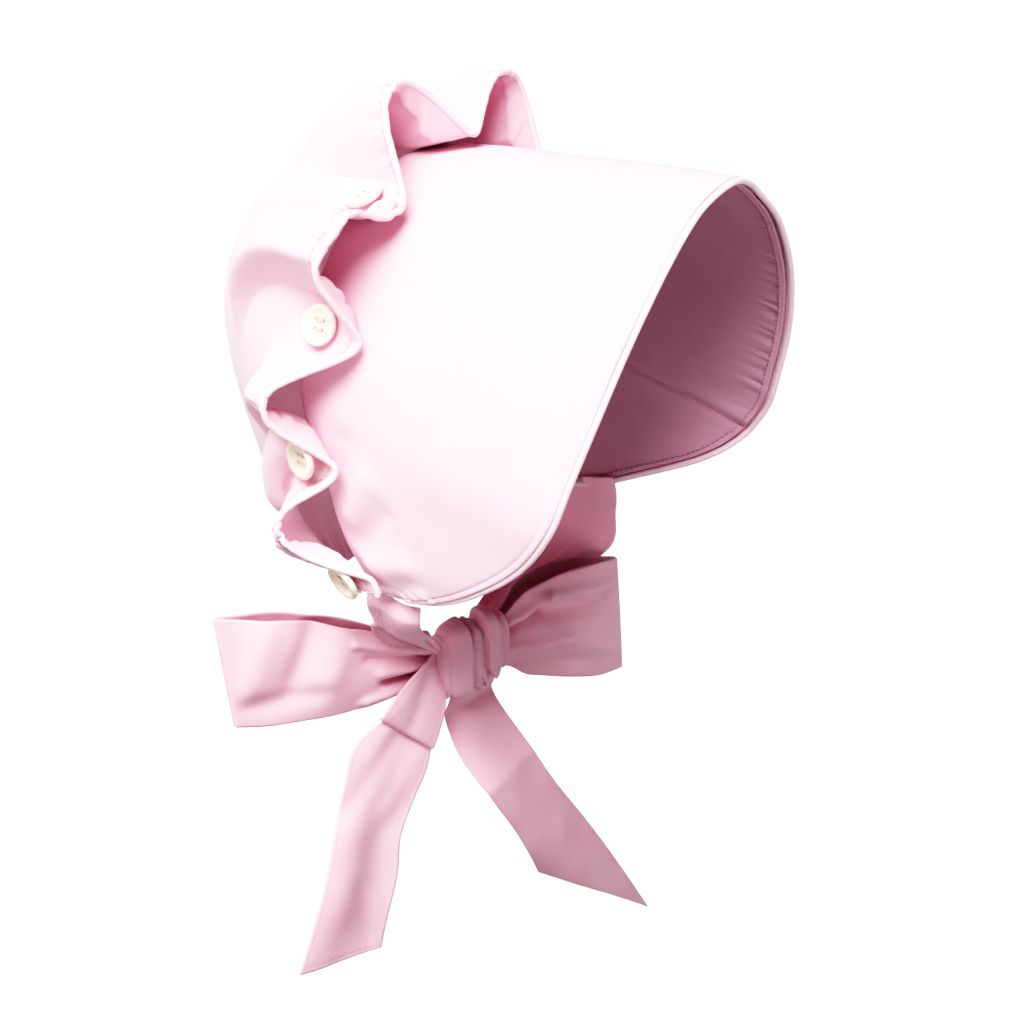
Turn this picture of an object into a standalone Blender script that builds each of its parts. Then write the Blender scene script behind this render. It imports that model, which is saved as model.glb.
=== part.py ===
"""Baby bonnet: a stiff lined brim, a soft crown buttoned over it, and ties in a bow under the chin.

Metres, +Z up. The face looks along -Y, and the wearer's left side is +X. The origin is the inside of
the top of the bonnet, where it rests on the head.
"""

import bpy
import bmesh
import math
import numpy as np
from mathutils import Matrix, Vector
from mathutils.bvhtree import BVHTree

MM = 0.001

# Driving sizes, in metres
BRIM_THICK = 1.4 * MM
LINING_THICK = 1.0 * MM
LINING_REACH = 0.992
CROWN_THICK = 1.2 * MM
RIBBON_THICK = 1.0 * MM
GAP = 0.35 * MM
LINING_GAP = 0.6 * MM
PIPING_GAP = 0.7 * MM
PIPING_RADIUS = 1.5 * MM
BRIM_BULGE = 1.5 * MM
BUTTON_DIAMETER = 15.5 * MM
BUTTON_THICK = 2.8 * MM
BUTTON_FLOOR = 9.4 * MM
BUTTON_OFF = 1.0 * MM
BUTTON_LOOKS = 24
BUTTON_LOOK = 7.0 * MM
FLOOR_STARTS = 2.0 * MM
KNOT_CENTRE = Vector((0.0, -5.5 * MM, -203.0 * MM))
BOW_YAW = math.radians(30)

# How finely each form is cut
BRIM_CUTS = (52, 5)
CROWN_STEP = 4.5 * MM
CROWN_ROWS = 10
LOOP_CUTS = (26, 4)
TAIL_CUTS = (13, 4)
TIE_CUTS = (10, 4)
PIPING_SIDES = 1
CURVE_STEPS = 16
EDGE_CUTS = 401
CROWN_LINE_STEPS = 24
KNOT_CUTS = (20, 10)
BUTTON_STEPS = 12

# A line from the top centre down one side: how far out, how far back and how high, in mm
EDGE_COLUMNS = ("half_width", "back", "height")

# The brim's outer surface along its back edge
BRIM_BACK = (
    (0, 12, 3),
    (22, 12.5, 0),
    (42, 14, -11.5),
    (57, 16, -27.5),
    (67, 18.5, -48.5),
    (71, 19.5, -72.5),
    (71, 14, -95),
    (69.5, 8, -113),
    (66, 4, -131),
    (62, -3, -147),
)

# The brim's front and lower edge, from the peak
BRIM_RIM = (
    (0, -119, 9),
    (13, -117.5, 6),
    (25, -116, -0.5),
    (44, -115, -15.5),
    (62, -111.5, -38.5),
    (74, -106, -63.5),
    (80, -99, -86.5),
    (81.5, -92, -105),
    (76, -76, -124),
    (70.5, -53, -140),
    (65.5, -33, -149),
    (61, -12, -152.5),
)

# The crown's lower edge round the neck, from the back centre
NAPE = (
    (0, 50, -171),
    (14, 50, -168),
    (28, 48, -158),
    (46, 37, -144),
    (60, 24, -137),
    (65, 12, -142),
    (64, -2, -151),
)

# The fullness of the crown from the top centre to the lower corner of one side: how far each line
# over the head leaves the brim straight back, and how far it rises out of the neck edge
FULLNESS_COLUMNS = ("share", "leaves", "rises")
FULLNESS = (
    (0.0, 76, 115),
    (0.25, 72, 102),
    (0.45, 44, 49),
    (0.6, 20, 28),
    (0.7, 19, 24),
    (0.85, 18, 15),
    (1.0, 3, 3),
)

# The ruffled front edge of the crown, from the top centre down one side. A row is a button or the
# crest of the lobe after it: its way along the brim's back edge, how far the edge stands off the
# brim, how far it lies in front of the brim's back edge, how far back the lift dies out, and how far a
# button sits behind the ruffled edge, which is 0 for a lobe
RUFFLE_COLUMNS = ("along", "lift", "forward", "fades", "button")
RUFFLE_RIGHT = (
    (0, 5, 22, 20, 17),
    (21, 33, 8, 59, 0),
    (45, 8, 24, 18, 17),
    (50.5, 11, 24, 24, 0),
    (61, 32, 21, 90, 0),
    (72, 31, 17, 90, 0),
    (90, 4, 27, 16, 18),
    (116, 25, 3.5, 44, 0),
    (138, 4, 14, 12, 9.2),
    (164, 21, -9, 31, 0),
    (188.5, 5.5, 11, 24, 10),
    (197, 5.5, 9.5, 24, 0),
)
RUFFLE_LEFT = (
    (0, 5, 22, 20, 17),
    (25, 28, 15, 70, 0),
    (46, 4, 24, 16, 16),
    (66, 17, 20, 48, 0),
    (90, 4, 27, 16, 18),
    (116, 22, 5, 44, 0),
    (138, 4, 14, 12, 9.2),
    (161, 13, 0, 30, 0),
    (184, 5, 9, 24, 13),
    (197, 5, 9, 24, 0),
)

# The loops of the bow, in the bow's own frame: the way from the knot, the top and bottom edges, how
# far the loop lies behind the bow's front, and half the gap between its front and back layers
LOOP_COLUMNS = ("away", "top", "bottom", "behind", "puff")
LOOP_RIGHT = (
    (17, 12.5, -3, 0, 3.5),
    (24, 14.5, -4, 0, 5),
    (35, 19.5, -5, 0, 7.5),
    (47, 25, -7, 0, 9),
    (60, 29.5, -8, 0, 9.5),
    (75, 34, -8, 0, 8.5),
    (90, 36.5, -8, 0, 5.5),
    (102.5, 38.5, -7, 0, 1.6),
)
LOOP_LEFT = (
    (18.4, 21, -5, 0, 5),
    (24, 26, -8, 0, 8),
    (30, 29, -9.5, 0, 9.5),
    (42, 32, -12.5, 0, 10),
    (56, 32.5, -15.5, 0, 8),
    (69.5, 31.5, -16, 0, 1.6),
)
LOOP_SLANT_RIGHT = 7.0 * MM
LOOP_SLANT_LEFT = -3.0 * MM

# The loose ends, in the bow's own frame: the two edges, and the curl between them
TAIL_COLUMNS = ("left_across", "left_up", "left_out", "right_across", "right_up", "right_out", "curl")
TAIL_RIGHT = (
    (-19, -15, 2, -7.5, -15.5, 2, 1),
    (-38, -16.5, 4, -17, -24, 4, 3),
    (-51.5, -24.5, 6, -20.5, -38, 6, 3),
    (-56.5, -39, 7, -27, -51.5, 7, 3),
    (-62.5, -61, 8, -33.5, -65.5, 8, 4),
    (-65.5, -76.5, 8, -35, -82, 8, 4),
    (-69.5, -92.5, 7, -39.5, -101, 7, 3),
    (-77, -118, 5, -41.5, -114.5, 5, 2),
)
TAIL_LEFT = (
    (-6.5, -15, 2, 15, -11.5, -2.5, 1),
    (-8, -23, 4, 16.5, -21.5, -1, 2.5),
    (-5, -38.5, 6, 25, -37.5, -1.5, 3),
    (5, -55.5, 5.5, 39.5, -60, -5, 3),
    (19, -76, 1.5, 59, -85.5, -10.5, 3),
    (27.5, -90, -2, 78, -111.5, -17.5, 3),
    (34.5, -102, -6.5, 100.5, -140, -26, 2),
)

# The ties from the brim to the knot: one edge, the other edge, and the curl
TIE_COLUMNS = ("a_x", "a_y", "a_z", "b_x", "b_y", "b_z", "curl")
TIE_RIGHT = (
    (-58, 0, -154.5, -58, -23, -156.5, 1),
    (-58, 0, -161, -57, -22, -163, 2),
    (-54, 1, -173, -50, -20, -170, 2),
    (-41, 2, -183, -36, -13, -179, 2),
    (-21, 0, -194, -20, -7, -190.5, 1),
)
TIE_LEFT = (
    (60, -4, -148.6, 60, -39, -143.6, 1),
    (58, -1, -157, 60, -38.5, -152, 2),
    (52, 1, -168, 58.5, -37, -167, 2),
    (38, 3, -181, 48, -20, -181, 2),
    (15, 4, -192, 18, -3, -193, 1),
)


def columns(names, rows):
    """The columns of a table, or of a curve through one, by their names."""
    return dict(zip(names, np.asarray(rows, dtype=float).T))


def smooth_through(rows, count):
    """A smooth curve through the rows of a table in mm, as an even polyline of count points in metres."""
    points = np.array(rows, dtype=float) * MM
    before = 2 * points[0] - points[1]
    after = 2 * points[-1] - points[-2]
    padded = np.vstack([before, points, after])
    dense = []
    for i in range(1, len(padded) - 2):
        p0, p1, p2, p3 = padded[i - 1:i + 3]
        for k in range(CURVE_STEPS):
            t = k / CURVE_STEPS
            dense.append(0.5 * (2 * p1 + (p2 - p0) * t + (2 * p0 - 5 * p1 + 4 * p2 - p3) * t ** 2
                                + (3 * p1 - p0 - 3 * p2 + p3) * t ** 3))
    dense.append(padded[-2])
    return even_polyline(np.array(dense), count)


def lengths_along(points):
    """The way along a polyline to each of its points."""
    steps = np.linalg.norm(np.diff(points, axis=0), axis=1)
    return np.concatenate([[0.0], np.cumsum(steps)])


def even_polyline(points, count):
    """The polyline cut again at even steps."""
    way = lengths_along(points)
    stops = np.linspace(0, way[-1], count)
    return np.stack([np.interp(stops, way, points[:, k]) for k in range(points.shape[1])], axis=1)


def mirrored_curve(rows):
    """A curve through half a line's table and its mirror image, from the right side (-X) to the left."""
    half = columns(EDGE_COLUMNS, rows)
    right = np.stack([-half["half_width"], half["back"], half["height"]], axis=1)
    left = np.stack([half["half_width"], half["back"], half["height"]], axis=1)
    return smooth_through(np.vstack([right[:0:-1], left]), EDGE_CUTS)


def point_on(curve, share):
    """The point at a share of a curve's length, which may run a little past its ends."""
    place = np.clip(share, 0, 1) * (len(curve) - 1)
    low = int(min(math.floor(place), len(curve) - 2))
    step = curve[low + 1] - curve[low]
    past = (share - np.clip(share, 0, 1)) * (len(curve) - 1)
    return curve[low] + step * (place - low + past)


def ease(t):
    """0 to 1 with level ends."""
    t = min(max(t, 0.0), 1.0)
    return t * t * (3 - 2 * t)


def unit(vector):
    """The vector at length 1."""
    return vector / max(np.linalg.norm(vector), 1e-12)


BACK_CURVE = mirrored_curve(BRIM_BACK)
RIM_CURVE = mirrored_curve(BRIM_RIM)
NAPE_CURVE = mirrored_curve(NAPE)
BACK_HALF = lengths_along(BACK_CURVE)[-1] / 2
RUFFLE_SIDES = [[dict(zip(RUFFLE_COLUMNS, np.array(row) * MM)) for row in rows]
                for rows in (RUFFLE_RIGHT, RUFFLE_LEFT)]
RUFFLE_END = RUFFLE_SIDES[0][-1]["along"]
HEAD_CENTRE = np.array((0.0, 15.0, -75.0)) * MM
LIFT_TURNS = 60.0 * MM
CROWN_SPREAD = 1.35
CROWN_OFFSET = BRIM_THICK / 2 + CROWN_THICK / 2 + 2 * GAP
CORNER_OFFSET = 2.0 * MM
CORNER_SHARE = 0.75
CORNER_FORWARD = (0, -1, 0.15)
AHEAD_OF_BACK = (40, 30, 20, 10)
FORWARD_FROM = 0.3
NORMAL_FROM = 0.02
NORMAL_STEP = 0.01
NAPE_OUTWARD = 0.45
NAPE_UPWARD = 0.9


# The brim

CREASE_DEPTH = 3.0 * MM
CREASE_WIDTH = 0.09
CREASE_AT_RIM = 17 / 26
CREASE_STARTS = 0.3
CREASE_REACH = 0.25
CREASE_RAISE = 9.0 * MM
CREASE_TUCK = 3.0 * MM
CORNER_FROM = 0.8


def crease(u, v):
    """How far the fold at the left side's lower corner pushes the brim out."""
    across = max(0.0, 1 - abs(u - CREASE_AT_RIM) / CREASE_WIDTH)
    return CREASE_DEPTH * across * ease((v - CREASE_STARTS) / (1 - CREASE_STARTS))


def brim_base(u, v):
    """The outer surface of the brim: u runs from -1 to 1 down the sides, v from back to front. Below
    its fold the left side's lower corner is drawn in and up."""
    share = 0.5 + 0.5 * u
    below = ease((u - CREASE_AT_RIM) / CREASE_REACH)
    corner = ease((u - CORNER_FROM) / (1 - CORNER_FROM))
    drawn = np.array((-CREASE_TUCK, 0, CREASE_RAISE)) * below * (v + (1 - v) * corner)
    return (1 - v) * point_on(BACK_CURVE, share) + v * point_on(RIM_CURVE, share) + drawn


def brim_normal(u, v):
    """The outward direction of the brim."""
    step = NORMAL_STEP
    along = brim_base(min(u + step, 1), v) - brim_base(max(u - step, -1), v)
    forward = brim_base(u, v + step) - brim_base(u, v - step)
    return unit(np.cross(along, -forward))


def brim_point(u, v, inward=0.0):
    """A point of the brim, moved inward by a distance."""
    bulge = BRIM_BULGE * 4 * v * (1 - v)
    return brim_base(u, v) + brim_normal(u, v) * (bulge - inward + crease(u, v))


# The crown

def ruffle_at(way):
    """The rows of the ruffle before and after a way along the brim's back edge, and the share between."""
    rows = RUFFLE_SIDES[0 if way < 0 else 1]
    way = min(abs(way), RUFFLE_END)
    for low, high in zip(rows[:-1], rows[1:]):
        if way <= high["along"]:
            break
    return low, high, (way - low["along"]) / (high["along"] - low["along"])


def ruffle_edge(way):
    """How far the ruffled edge lies in front of the brim's back edge."""
    low, high, t = ruffle_at(way)
    return low["forward"] + (high["forward"] - low["forward"]) * ease(t)


def ruffle_lift(way, behind):
    """How far the crown stands off the brim, at a distance behind its ruffled edge."""
    low, high, t = ruffle_at(way)
    floor = BUTTON_FLOOR * ease(behind / FLOOR_STARTS) / (high["along"] - low["along"])
    if low["button"] > 0:
        t = (t - floor) / (1 - floor)
    elif high["button"] > 0:
        t = t / (1 - floor)
    t = ease(t)
    lift = 0
    for row, weight in ((low, 1 - t), (high, t)):
        faded = 0.5 * (1 + math.cos(math.pi * min(behind / row["fades"], 1)))
        lift += weight * row["lift"] * faded
    return lift


def crown_line(way):
    """One line of the crown over the head, before the ruffle: its points, the way along it from the
    brim's back edge, and the direction in which the ruffle lifts it."""
    side = 1 if way >= 0 else -1
    share = abs(way) / RUFFLE_END
    u = side * min(abs(way) / BACK_HALF, 1.0)
    cornered = ease((share - CORNER_SHARE) / (1 - CORNER_SHARE))
    normal = brim_normal(u, NORMAL_FROM)
    forward = unit(brim_base(u, FORWARD_FROM) - brim_base(u, 0.0))
    forward = unit(forward * (1 - cornered) + np.array(CORNER_FORWARD) * cornered)
    start = brim_base(u, 0.0) + normal * (CROWN_OFFSET + CORNER_OFFSET * cornered)
    ahead = [start + forward * reach * MM for reach in AHEAD_OF_BACK]
    full = columns(FULLNESS_COLUMNS, FULLNESS)
    leaves = np.interp(share, full["share"], full["leaves"]) * MM
    rises = np.interp(share, full["share"], full["rises"]) * MM
    end = point_on(NAPE_CURVE, 0.5 + 0.5 * way / RUFFLE_END)
    outward = unit(np.array((end[0], end[1], 0.0)))
    rising = unit(outward * NAPE_OUTWARD + np.array((0, 0, NAPE_UPWARD)))
    p1 = start - forward * leaves
    p2 = end + rising * rises
    over = []
    for i in range(CROWN_LINE_STEPS + 1):
        t = i / CROWN_LINE_STEPS
        over.append((1 - t) ** 3 * start + 3 * (1 - t) ** 2 * t * p1 + 3 * (1 - t) * t ** 2 * p2
                    + t ** 3 * end)
    points = np.array(ahead + over)
    reach = lengths_along(points)
    return points, reach - reach[len(ahead)], normal


def crown_at(way, behind):
    """A point of the crown: way runs along the brim's back edge, behind is its distance from the
    ruffled edge."""
    points, reach, normal = crown_line(way)
    place = behind - ruffle_edge(way)
    base = np.array([np.interp(place, reach, points[:, k]) for k in range(3)])
    turn = ease(place / LIFT_TURNS)
    lifting = unit(normal * (1 - turn) + unit(base - HEAD_CENTRE) * turn)
    return base + lifting * ruffle_lift(way, behind)


def crown_ways():
    """The ways of the crown's lines, even but for one on each side of every button."""
    sides = []
    for rows in RUFFLE_SIDES:
        stops = {0.0, RUFFLE_END}
        for row in rows:
            if row["button"] > 0:
                stops |= {abs(row["along"] - BUTTON_FLOOR), row["along"],
                          min(row["along"] + BUTTON_FLOOR, RUFFLE_END)}
            else:
                stops.add(row["along"])
        stops = sorted(stops)
        ways = [0.0]
        for low, high in zip(stops[:-1], stops[1:]):
            count = max(1, round((high - low) / CROWN_STEP))
            ways += [low + (high - low) * (k + 1) / count for k in range(count)]
        sides.append(ways)
    return [-way for way in sides[0][:0:-1]] + sides[1]


def crown_point(way, v):
    """A point of the crown, with v from the ruffled edge to the neck, closer together at the ruffle."""
    reach = crown_line(way)[1]
    return crown_at(way, (reach[-1] + ruffle_edge(way)) * v ** CROWN_SPREAD)


# Shapes

# The share of a sheet's width over which its direction is taken where it runs out to its piping
RIM_FROM = 0.9
RUFFLE_FROM = 0.03


def material(name, hex_colour, roughness):
    """A plain material of one colour."""
    made = bpy.data.materials.new(name)
    made.use_nodes = True
    shader = made.node_tree.nodes["Principled BSDF"]
    parts = [int(hex_colour[i:i + 2], 16) / 255 for i in (0, 2, 4)]
    linear = [p / 12.92 if p <= 0.04045 else ((p + 0.055) / 1.055) ** 2.4 for p in parts]
    shader.inputs["Base Color"].default_value = (*linear, 1)
    shader.inputs["Roughness"].default_value = roughness
    shader.inputs["Metallic"].default_value = 0
    return made


def add_object(name, data, finish):
    """An object in the bonnet's collection."""
    made = bpy.data.objects.new(name, data)
    made.data.materials.append(finish)
    bpy.data.collections[COLLECTION].objects.link(made)
    return made


def sheet(name, cuts, place, thick, finish):
    """A cloth wall: a grid whose points are placed by a function of two shares, then thickened."""
    shape = bmesh.new()
    bmesh.ops.create_grid(shape, x_segments=cuts[0], y_segments=cuts[1], size=0.5)
    for vertex in shape.verts:
        vertex.co = Vector(place(vertex.co.x + 0.5, vertex.co.y + 0.5))
    mesh = bpy.data.meshes.new(name)
    shape.to_mesh(mesh)
    shape.free()
    mesh.shade_smooth()
    made = add_object(name, mesh, finish)
    wall = made.modifiers.new("thickness", "SOLIDIFY")
    wall.thickness = thick
    wall.offset = 0
    wall.use_even_offset = False
    return made


def cord(name, points, radius, finish):
    """A round covered cord along the points."""
    curve = bpy.data.curves.new(name, "CURVE")
    curve.dimensions = "3D"
    curve.bevel_depth = radius
    curve.bevel_resolution = PIPING_SIDES
    curve.use_fill_caps = True
    spline = curve.splines.new("POLY")
    spline.points.add(len(points) - 1)
    for target, point in zip(spline.points, points):
        target.co = (*point, 1)
    return add_object(name, curve, finish)


def beyond_edge(place, count, edge, inside):
    """Points just beyond one edge of a sheet, square to that edge, where its piping lies."""
    points = []
    for i in range(count + 1):
        a = i / count
        last = place(a, edge)
        way = unit(place(min(a + 0.5 / count, 1), edge) - place(max(a - 0.5 / count, 0), edge))
        ahead = last - place(a, inside)
        points.append(last + unit(ahead - way * np.dot(ahead, way)) * (PIPING_RADIUS + PIPING_GAP))
    return points


def make_brim(cloth, lining):
    """The brim's outer cloth, its lining and the piping round its free edges."""
    sheet("brim", BRIM_CUTS, lambda a, b: brim_point(2 * a - 1, b), BRIM_THICK, cloth)
    inward = BRIM_THICK / 2 + LINING_GAP + LINING_THICK / 2
    sheet("brim_lining", BRIM_CUTS, lambda a, b: brim_point(2 * a - 1, b * LINING_REACH, inward),
          LINING_THICK, lining)

    def between(a, b):
        return brim_point(2 * a - 1, b, inward / 2)

    edge = beyond_edge(between, BRIM_CUTS[0], 1, RIM_FROM)
    cord("brim_piping", edge, PIPING_RADIUS, cloth)


def make_crown(cloth):
    """The crown and the piping along its ruffled edge."""
    ways = crown_ways()
    count = len(ways) - 1

    def place(a, b):
        return crown_point(np.interp(a * count, range(count + 1), ways), b)

    crown = sheet("crown", (count, CROWN_ROWS), place, CROWN_THICK, cloth)
    edge = beyond_edge(place, count, 0, RUFFLE_FROM)[1:-1]
    return crown, cord("crown_piping", edge, PIPING_RADIUS, cloth)


BUTTON_PROFILE_COLUMNS = ("from_centre", "height")
BUTTON_PROFILE = (
    (0.0, 0.55),
    (0.55, 0.55),
    (0.68, 0.95),
    (0.84, 1.0),
    (1.0, 0.6),
    (0.94, 0.12),
    (0.62, 0.0),
    (0.0, 0.0),
)
BUTTON_RIM = 4


def make_buttons(finish, crown, piping):
    """The buttons: a turned disc with a raised rim, one at the top and four down each side."""
    bpy.context.view_layer.update()
    graph = bpy.context.evaluated_depsgraph_get()
    cloth = [tree_of(made, graph) for made in (crown, piping)]
    mesh = button_mesh(finish)
    right, left = ([(row["along"], row["button"]) for row in rows if row["button"] > 0]
                   for rows in RUFFLE_SIDES)
    ways = [(-way, behind) for way, behind in right[:0:-1]] + left
    for number, (way, behind) in enumerate(ways, 1):
        seat, normal = button_seat(way, behind, cloth)
        made = bpy.data.objects.new("button_%d" % number, mesh)
        bpy.data.collections[COLLECTION].objects.link(made)
        turn = Vector(normal).to_track_quat("Z", "Y").to_matrix().to_4x4()
        made.matrix_world = Matrix.Translation(Vector(seat)) @ turn


def tree_of(made, graph):
    """An object's evaluated faces, to cast rays at."""
    mesh = bpy.data.meshes.new_from_object(made.evaluated_get(graph))
    tree = BVHTree.FromPolygons([v.co for v in mesh.vertices], [p.vertices for p in mesh.polygons])
    bpy.data.meshes.remove(mesh)
    return tree


def button_seat(way, behind, cloth):
    """Where a button lies, on the highest cloth under it, and the direction it faces."""
    outward = crown_line(way)[2]
    centre = crown_at(way, behind)
    half = BUTTON_DIAMETER / 2
    aside = unit(crown_at(way + half, behind) - crown_at(way - half, behind))
    back = crown_at(way, behind + half) - crown_at(way, behind - half)
    facing = np.cross(aside, back)
    facing = unit(facing * math.copysign(1, np.dot(facing, outward)))
    back = np.cross(facing, aside)
    height = 0.0
    for row in BUTTON_PROFILE[BUTTON_RIM:]:
        ring = dict(zip(BUTTON_PROFILE_COLUMNS, row))
        for i in range(BUTTON_LOOKS):
            turn = 2 * math.pi * i / BUTTON_LOOKS
            step = (aside * math.cos(turn) + back * math.sin(turn)) * ring["from_centre"] * half
            for tree in cloth:
                hit = tree.ray_cast(Vector(centre + step + facing * BUTTON_LOOK), Vector(-facing),
                                    2 * BUTTON_LOOK)[0]
                if hit is not None:
                    met = np.dot(np.array(hit) - centre, facing) - ring["height"] * BUTTON_THICK
                    height = max(height, met)
    return centre + facing * (height + BUTTON_OFF), facing


def button_mesh(finish):
    """One button's mesh, turned from its profile."""
    shape = bmesh.new()
    previous = None
    for row in BUTTON_PROFILE:
        ring = dict(zip(BUTTON_PROFILE_COLUMNS, row))
        vertex = shape.verts.new((ring["from_centre"] * BUTTON_DIAMETER / 2, 0,
                                  ring["height"] * BUTTON_THICK))
        if previous is not None:
            shape.edges.new((previous, vertex))
        previous = vertex
    profile = bpy.data.meshes.new("button_profile")
    shape.to_mesh(profile)
    shape.free()
    turned = bpy.data.objects.new("button_turned", profile)
    bpy.data.collections[COLLECTION].objects.link(turned)
    screw = turned.modifiers.new("turn", "SCREW")
    screw.steps = BUTTON_STEPS
    screw.render_steps = BUTTON_STEPS
    screw.use_merge_vertices = True
    screw.merge_threshold = 0.00005
    bpy.context.view_layer.update()
    mesh = bpy.data.meshes.new_from_object(turned.evaluated_get(bpy.context.evaluated_depsgraph_get()))
    mesh.name = "button"
    mesh.materials.append(finish)
    bpy.data.objects.remove(turned)
    return mesh


# The ties and the bow

BOW_ACROSS = np.array((math.cos(BOW_YAW), -math.sin(BOW_YAW), 0.0))
BOW_OUT = np.array((-math.sin(BOW_YAW), -math.cos(BOW_YAW), 0.0))
BOW_UP = np.array((0.0, 0.0, 1.0))
LOOP_CURVE_CUTS = 41
LOOP_FLATTER_AT_EDGES = 0.35
TAIL_CURVE_CUTS = 61
TIE_CURVE_CUTS = 41
TIE_LOOK = 0.05


def bow_point(across, up, out):
    """A point in the bow's own frame, in metres."""
    return np.array(KNOT_CENTRE) + BOW_ACROSS * across + BOW_UP * up + BOW_OUT * out


def make_loop(name, rows, slant, side, cloth):
    """A loop of the bow: the ribbon runs out along the front, turns, and comes back along the back."""
    out_way = smooth_through(rows, LOOP_CURVE_CUTS)
    turned = dict(zip(LOOP_COLUMNS, np.eye(len(LOOP_COLUMNS))))
    back_way = out_way[::-1] * (1 - 2 * turned["puff"])
    whole = np.vstack([out_way, back_way])
    ribbon = columns(LOOP_COLUMNS, whole)
    way = lengths_along(np.stack([ribbon["away"], ribbon["puff"]], axis=1))
    share = way / way[-1]
    end = ribbon["away"].max()

    def place(a, b):
        row = {column: np.interp(a, share, ribbon[column]) for column in LOOP_COLUMNS}
        up = row["bottom"] + (row["top"] - row["bottom"]) * b
        puff = row["puff"] * (1 - LOOP_FLATTER_AT_EDGES * (2 * b - 1) ** 2)
        lean = slant * (b - 0.5) * ease(row["away"] / end)
        return bow_point(side * (row["away"] + lean), up, puff - row["behind"])

    sheet(name, LOOP_CUTS, place, RIBBON_THICK, cloth)


def make_tail(name, rows, cloth):
    """A loose end of the bow, curled a little across its width."""
    line = smooth_through(rows, TAIL_CURVE_CUTS)

    def place(a, b):
        row = dict(zip(TAIL_COLUMNS, point_on(line, a)))
        across, up, out = (row["left_" + way] + (row["right_" + way] - row["left_" + way]) * b
                           for way in ("across", "up", "out"))
        return bow_point(across, up, out + row["curl"] * math.sin(2 * math.pi * b))

    sheet(name, TAIL_CUTS, place, RIBBON_THICK, cloth)


def make_tie(name, rows, cloth):
    """A tie from the lower corner of the brim to the knot."""
    line = smooth_through(rows, TIE_CURVE_CUTS)

    def edges(share):
        row = dict(zip(TIE_COLUMNS, point_on(line, share)))
        return (np.array([row[edge + "_" + axis] for axis in "xyz"]) for edge in "ab")

    def place(a, b):
        first, last = edges(a)
        before = list(edges(max(a - TIE_LOOK, 0)))[0]
        after = list(edges(min(a + TIE_LOOK, 1)))[0]
        out = unit(np.cross(last - first, unit(after - before)))
        curl = dict(zip(TIE_COLUMNS, point_on(line, a)))["curl"]
        return first + (last - first) * b + out * curl * math.sin(2 * math.pi * b)

    sheet(name, TIE_CUTS, place, RIBBON_THICK, cloth)


KNOT_HALF = np.array((16.4, 16.2, 10.0)) * MM
KNOT_PLACE = (1.0 * MM, 4.0 * MM, 1.0 * MM)
KNOT_SLANT = 0.25
KNOT_GROOVE = 1.1 * MM
KNOT_WRAPS = 3
KNOT_SQUARENESS = 0.65


def make_knot(cloth):
    """The knot: a round bundle wrapped from top to bottom, with a groove between the wraps."""
    shape = bmesh.new()
    bmesh.ops.create_uvsphere(shape, u_segments=KNOT_CUTS[0], v_segments=KNOT_CUTS[1], radius=1)
    for vertex in shape.verts:
        across, up, out = (math.copysign(abs(c) ** KNOT_SQUARENESS, c) for c in vertex.co)
        size = math.sqrt(up * up + out * out)
        groove = KNOT_GROOVE * 0.5 * (1 + math.cos(2 * math.pi * KNOT_WRAPS * across / 2 + up))
        scale = 1 - groove / KNOT_HALF[2] * size
        aside = across * KNOT_HALF[0]
        vertex.co = Vector(bow_point(KNOT_PLACE[0] + aside,
                                     KNOT_PLACE[1] + aside * KNOT_SLANT + up * KNOT_HALF[1] * scale,
                                     KNOT_PLACE[2] + out * KNOT_HALF[2] * scale))
    mesh = bpy.data.meshes.new("bow_knot")
    shape.to_mesh(mesh)
    shape.free()
    mesh.shade_smooth()
    add_object("bow_knot", mesh, cloth)


COLLECTION = "baby_bonnet"


def main():
    for old in list(bpy.data.objects):
        bpy.data.objects.remove(old)
    bpy.context.scene.collection.children.link(bpy.data.collections.new(COLLECTION))
    cloth = material("pink_cotton", "F6D9E4", 0.85)
    lining = material("pink_cotton_lining", "EFC4D6", 0.85)
    ribbon = material("pink_cotton_ribbon", "EFC2D4", 0.8)
    ivory = material("ivory_button", "FFFBEF", 0.25)
    make_brim(cloth, lining)
    crown, piping = make_crown(cloth)
    make_buttons(ivory, crown, piping)
    make_tie("tie_right", TIE_RIGHT, ribbon)
    make_tie("tie_left", TIE_LEFT, ribbon)
    make_knot(ribbon)
    make_loop("bow_loop_right", LOOP_RIGHT, LOOP_SLANT_RIGHT, -1, ribbon)
    make_loop("bow_loop_left", LOOP_LEFT, LOOP_SLANT_LEFT, 1, ribbon)
    make_tail("bow_tail_right", TAIL_RIGHT, ribbon)
    make_tail("bow_tail_left", TAIL_LEFT, ribbon)


main()
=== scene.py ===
"""Looks of the baby bonnet: pale pink cotton, piped edges, ivory buttons and a bow under the chin.

Metres, +Z up. The face looks along -Y, and the wearer's left side is +X.
"""

import math

import bmesh
import bpy
import numpy as np
from mathutils import Matrix, Vector


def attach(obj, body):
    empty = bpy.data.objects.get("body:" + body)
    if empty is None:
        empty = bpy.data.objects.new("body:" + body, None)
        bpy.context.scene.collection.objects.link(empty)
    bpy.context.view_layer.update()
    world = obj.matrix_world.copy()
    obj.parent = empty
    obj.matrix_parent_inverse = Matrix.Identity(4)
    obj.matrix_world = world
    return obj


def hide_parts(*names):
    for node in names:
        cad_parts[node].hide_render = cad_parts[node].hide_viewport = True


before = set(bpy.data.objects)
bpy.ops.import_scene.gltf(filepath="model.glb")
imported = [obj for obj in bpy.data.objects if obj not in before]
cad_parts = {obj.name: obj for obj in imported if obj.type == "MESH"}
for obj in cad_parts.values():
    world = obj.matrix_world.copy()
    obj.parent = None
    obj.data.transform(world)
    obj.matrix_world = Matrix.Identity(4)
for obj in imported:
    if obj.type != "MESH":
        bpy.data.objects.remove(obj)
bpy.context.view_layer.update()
MM = 0.001

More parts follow.
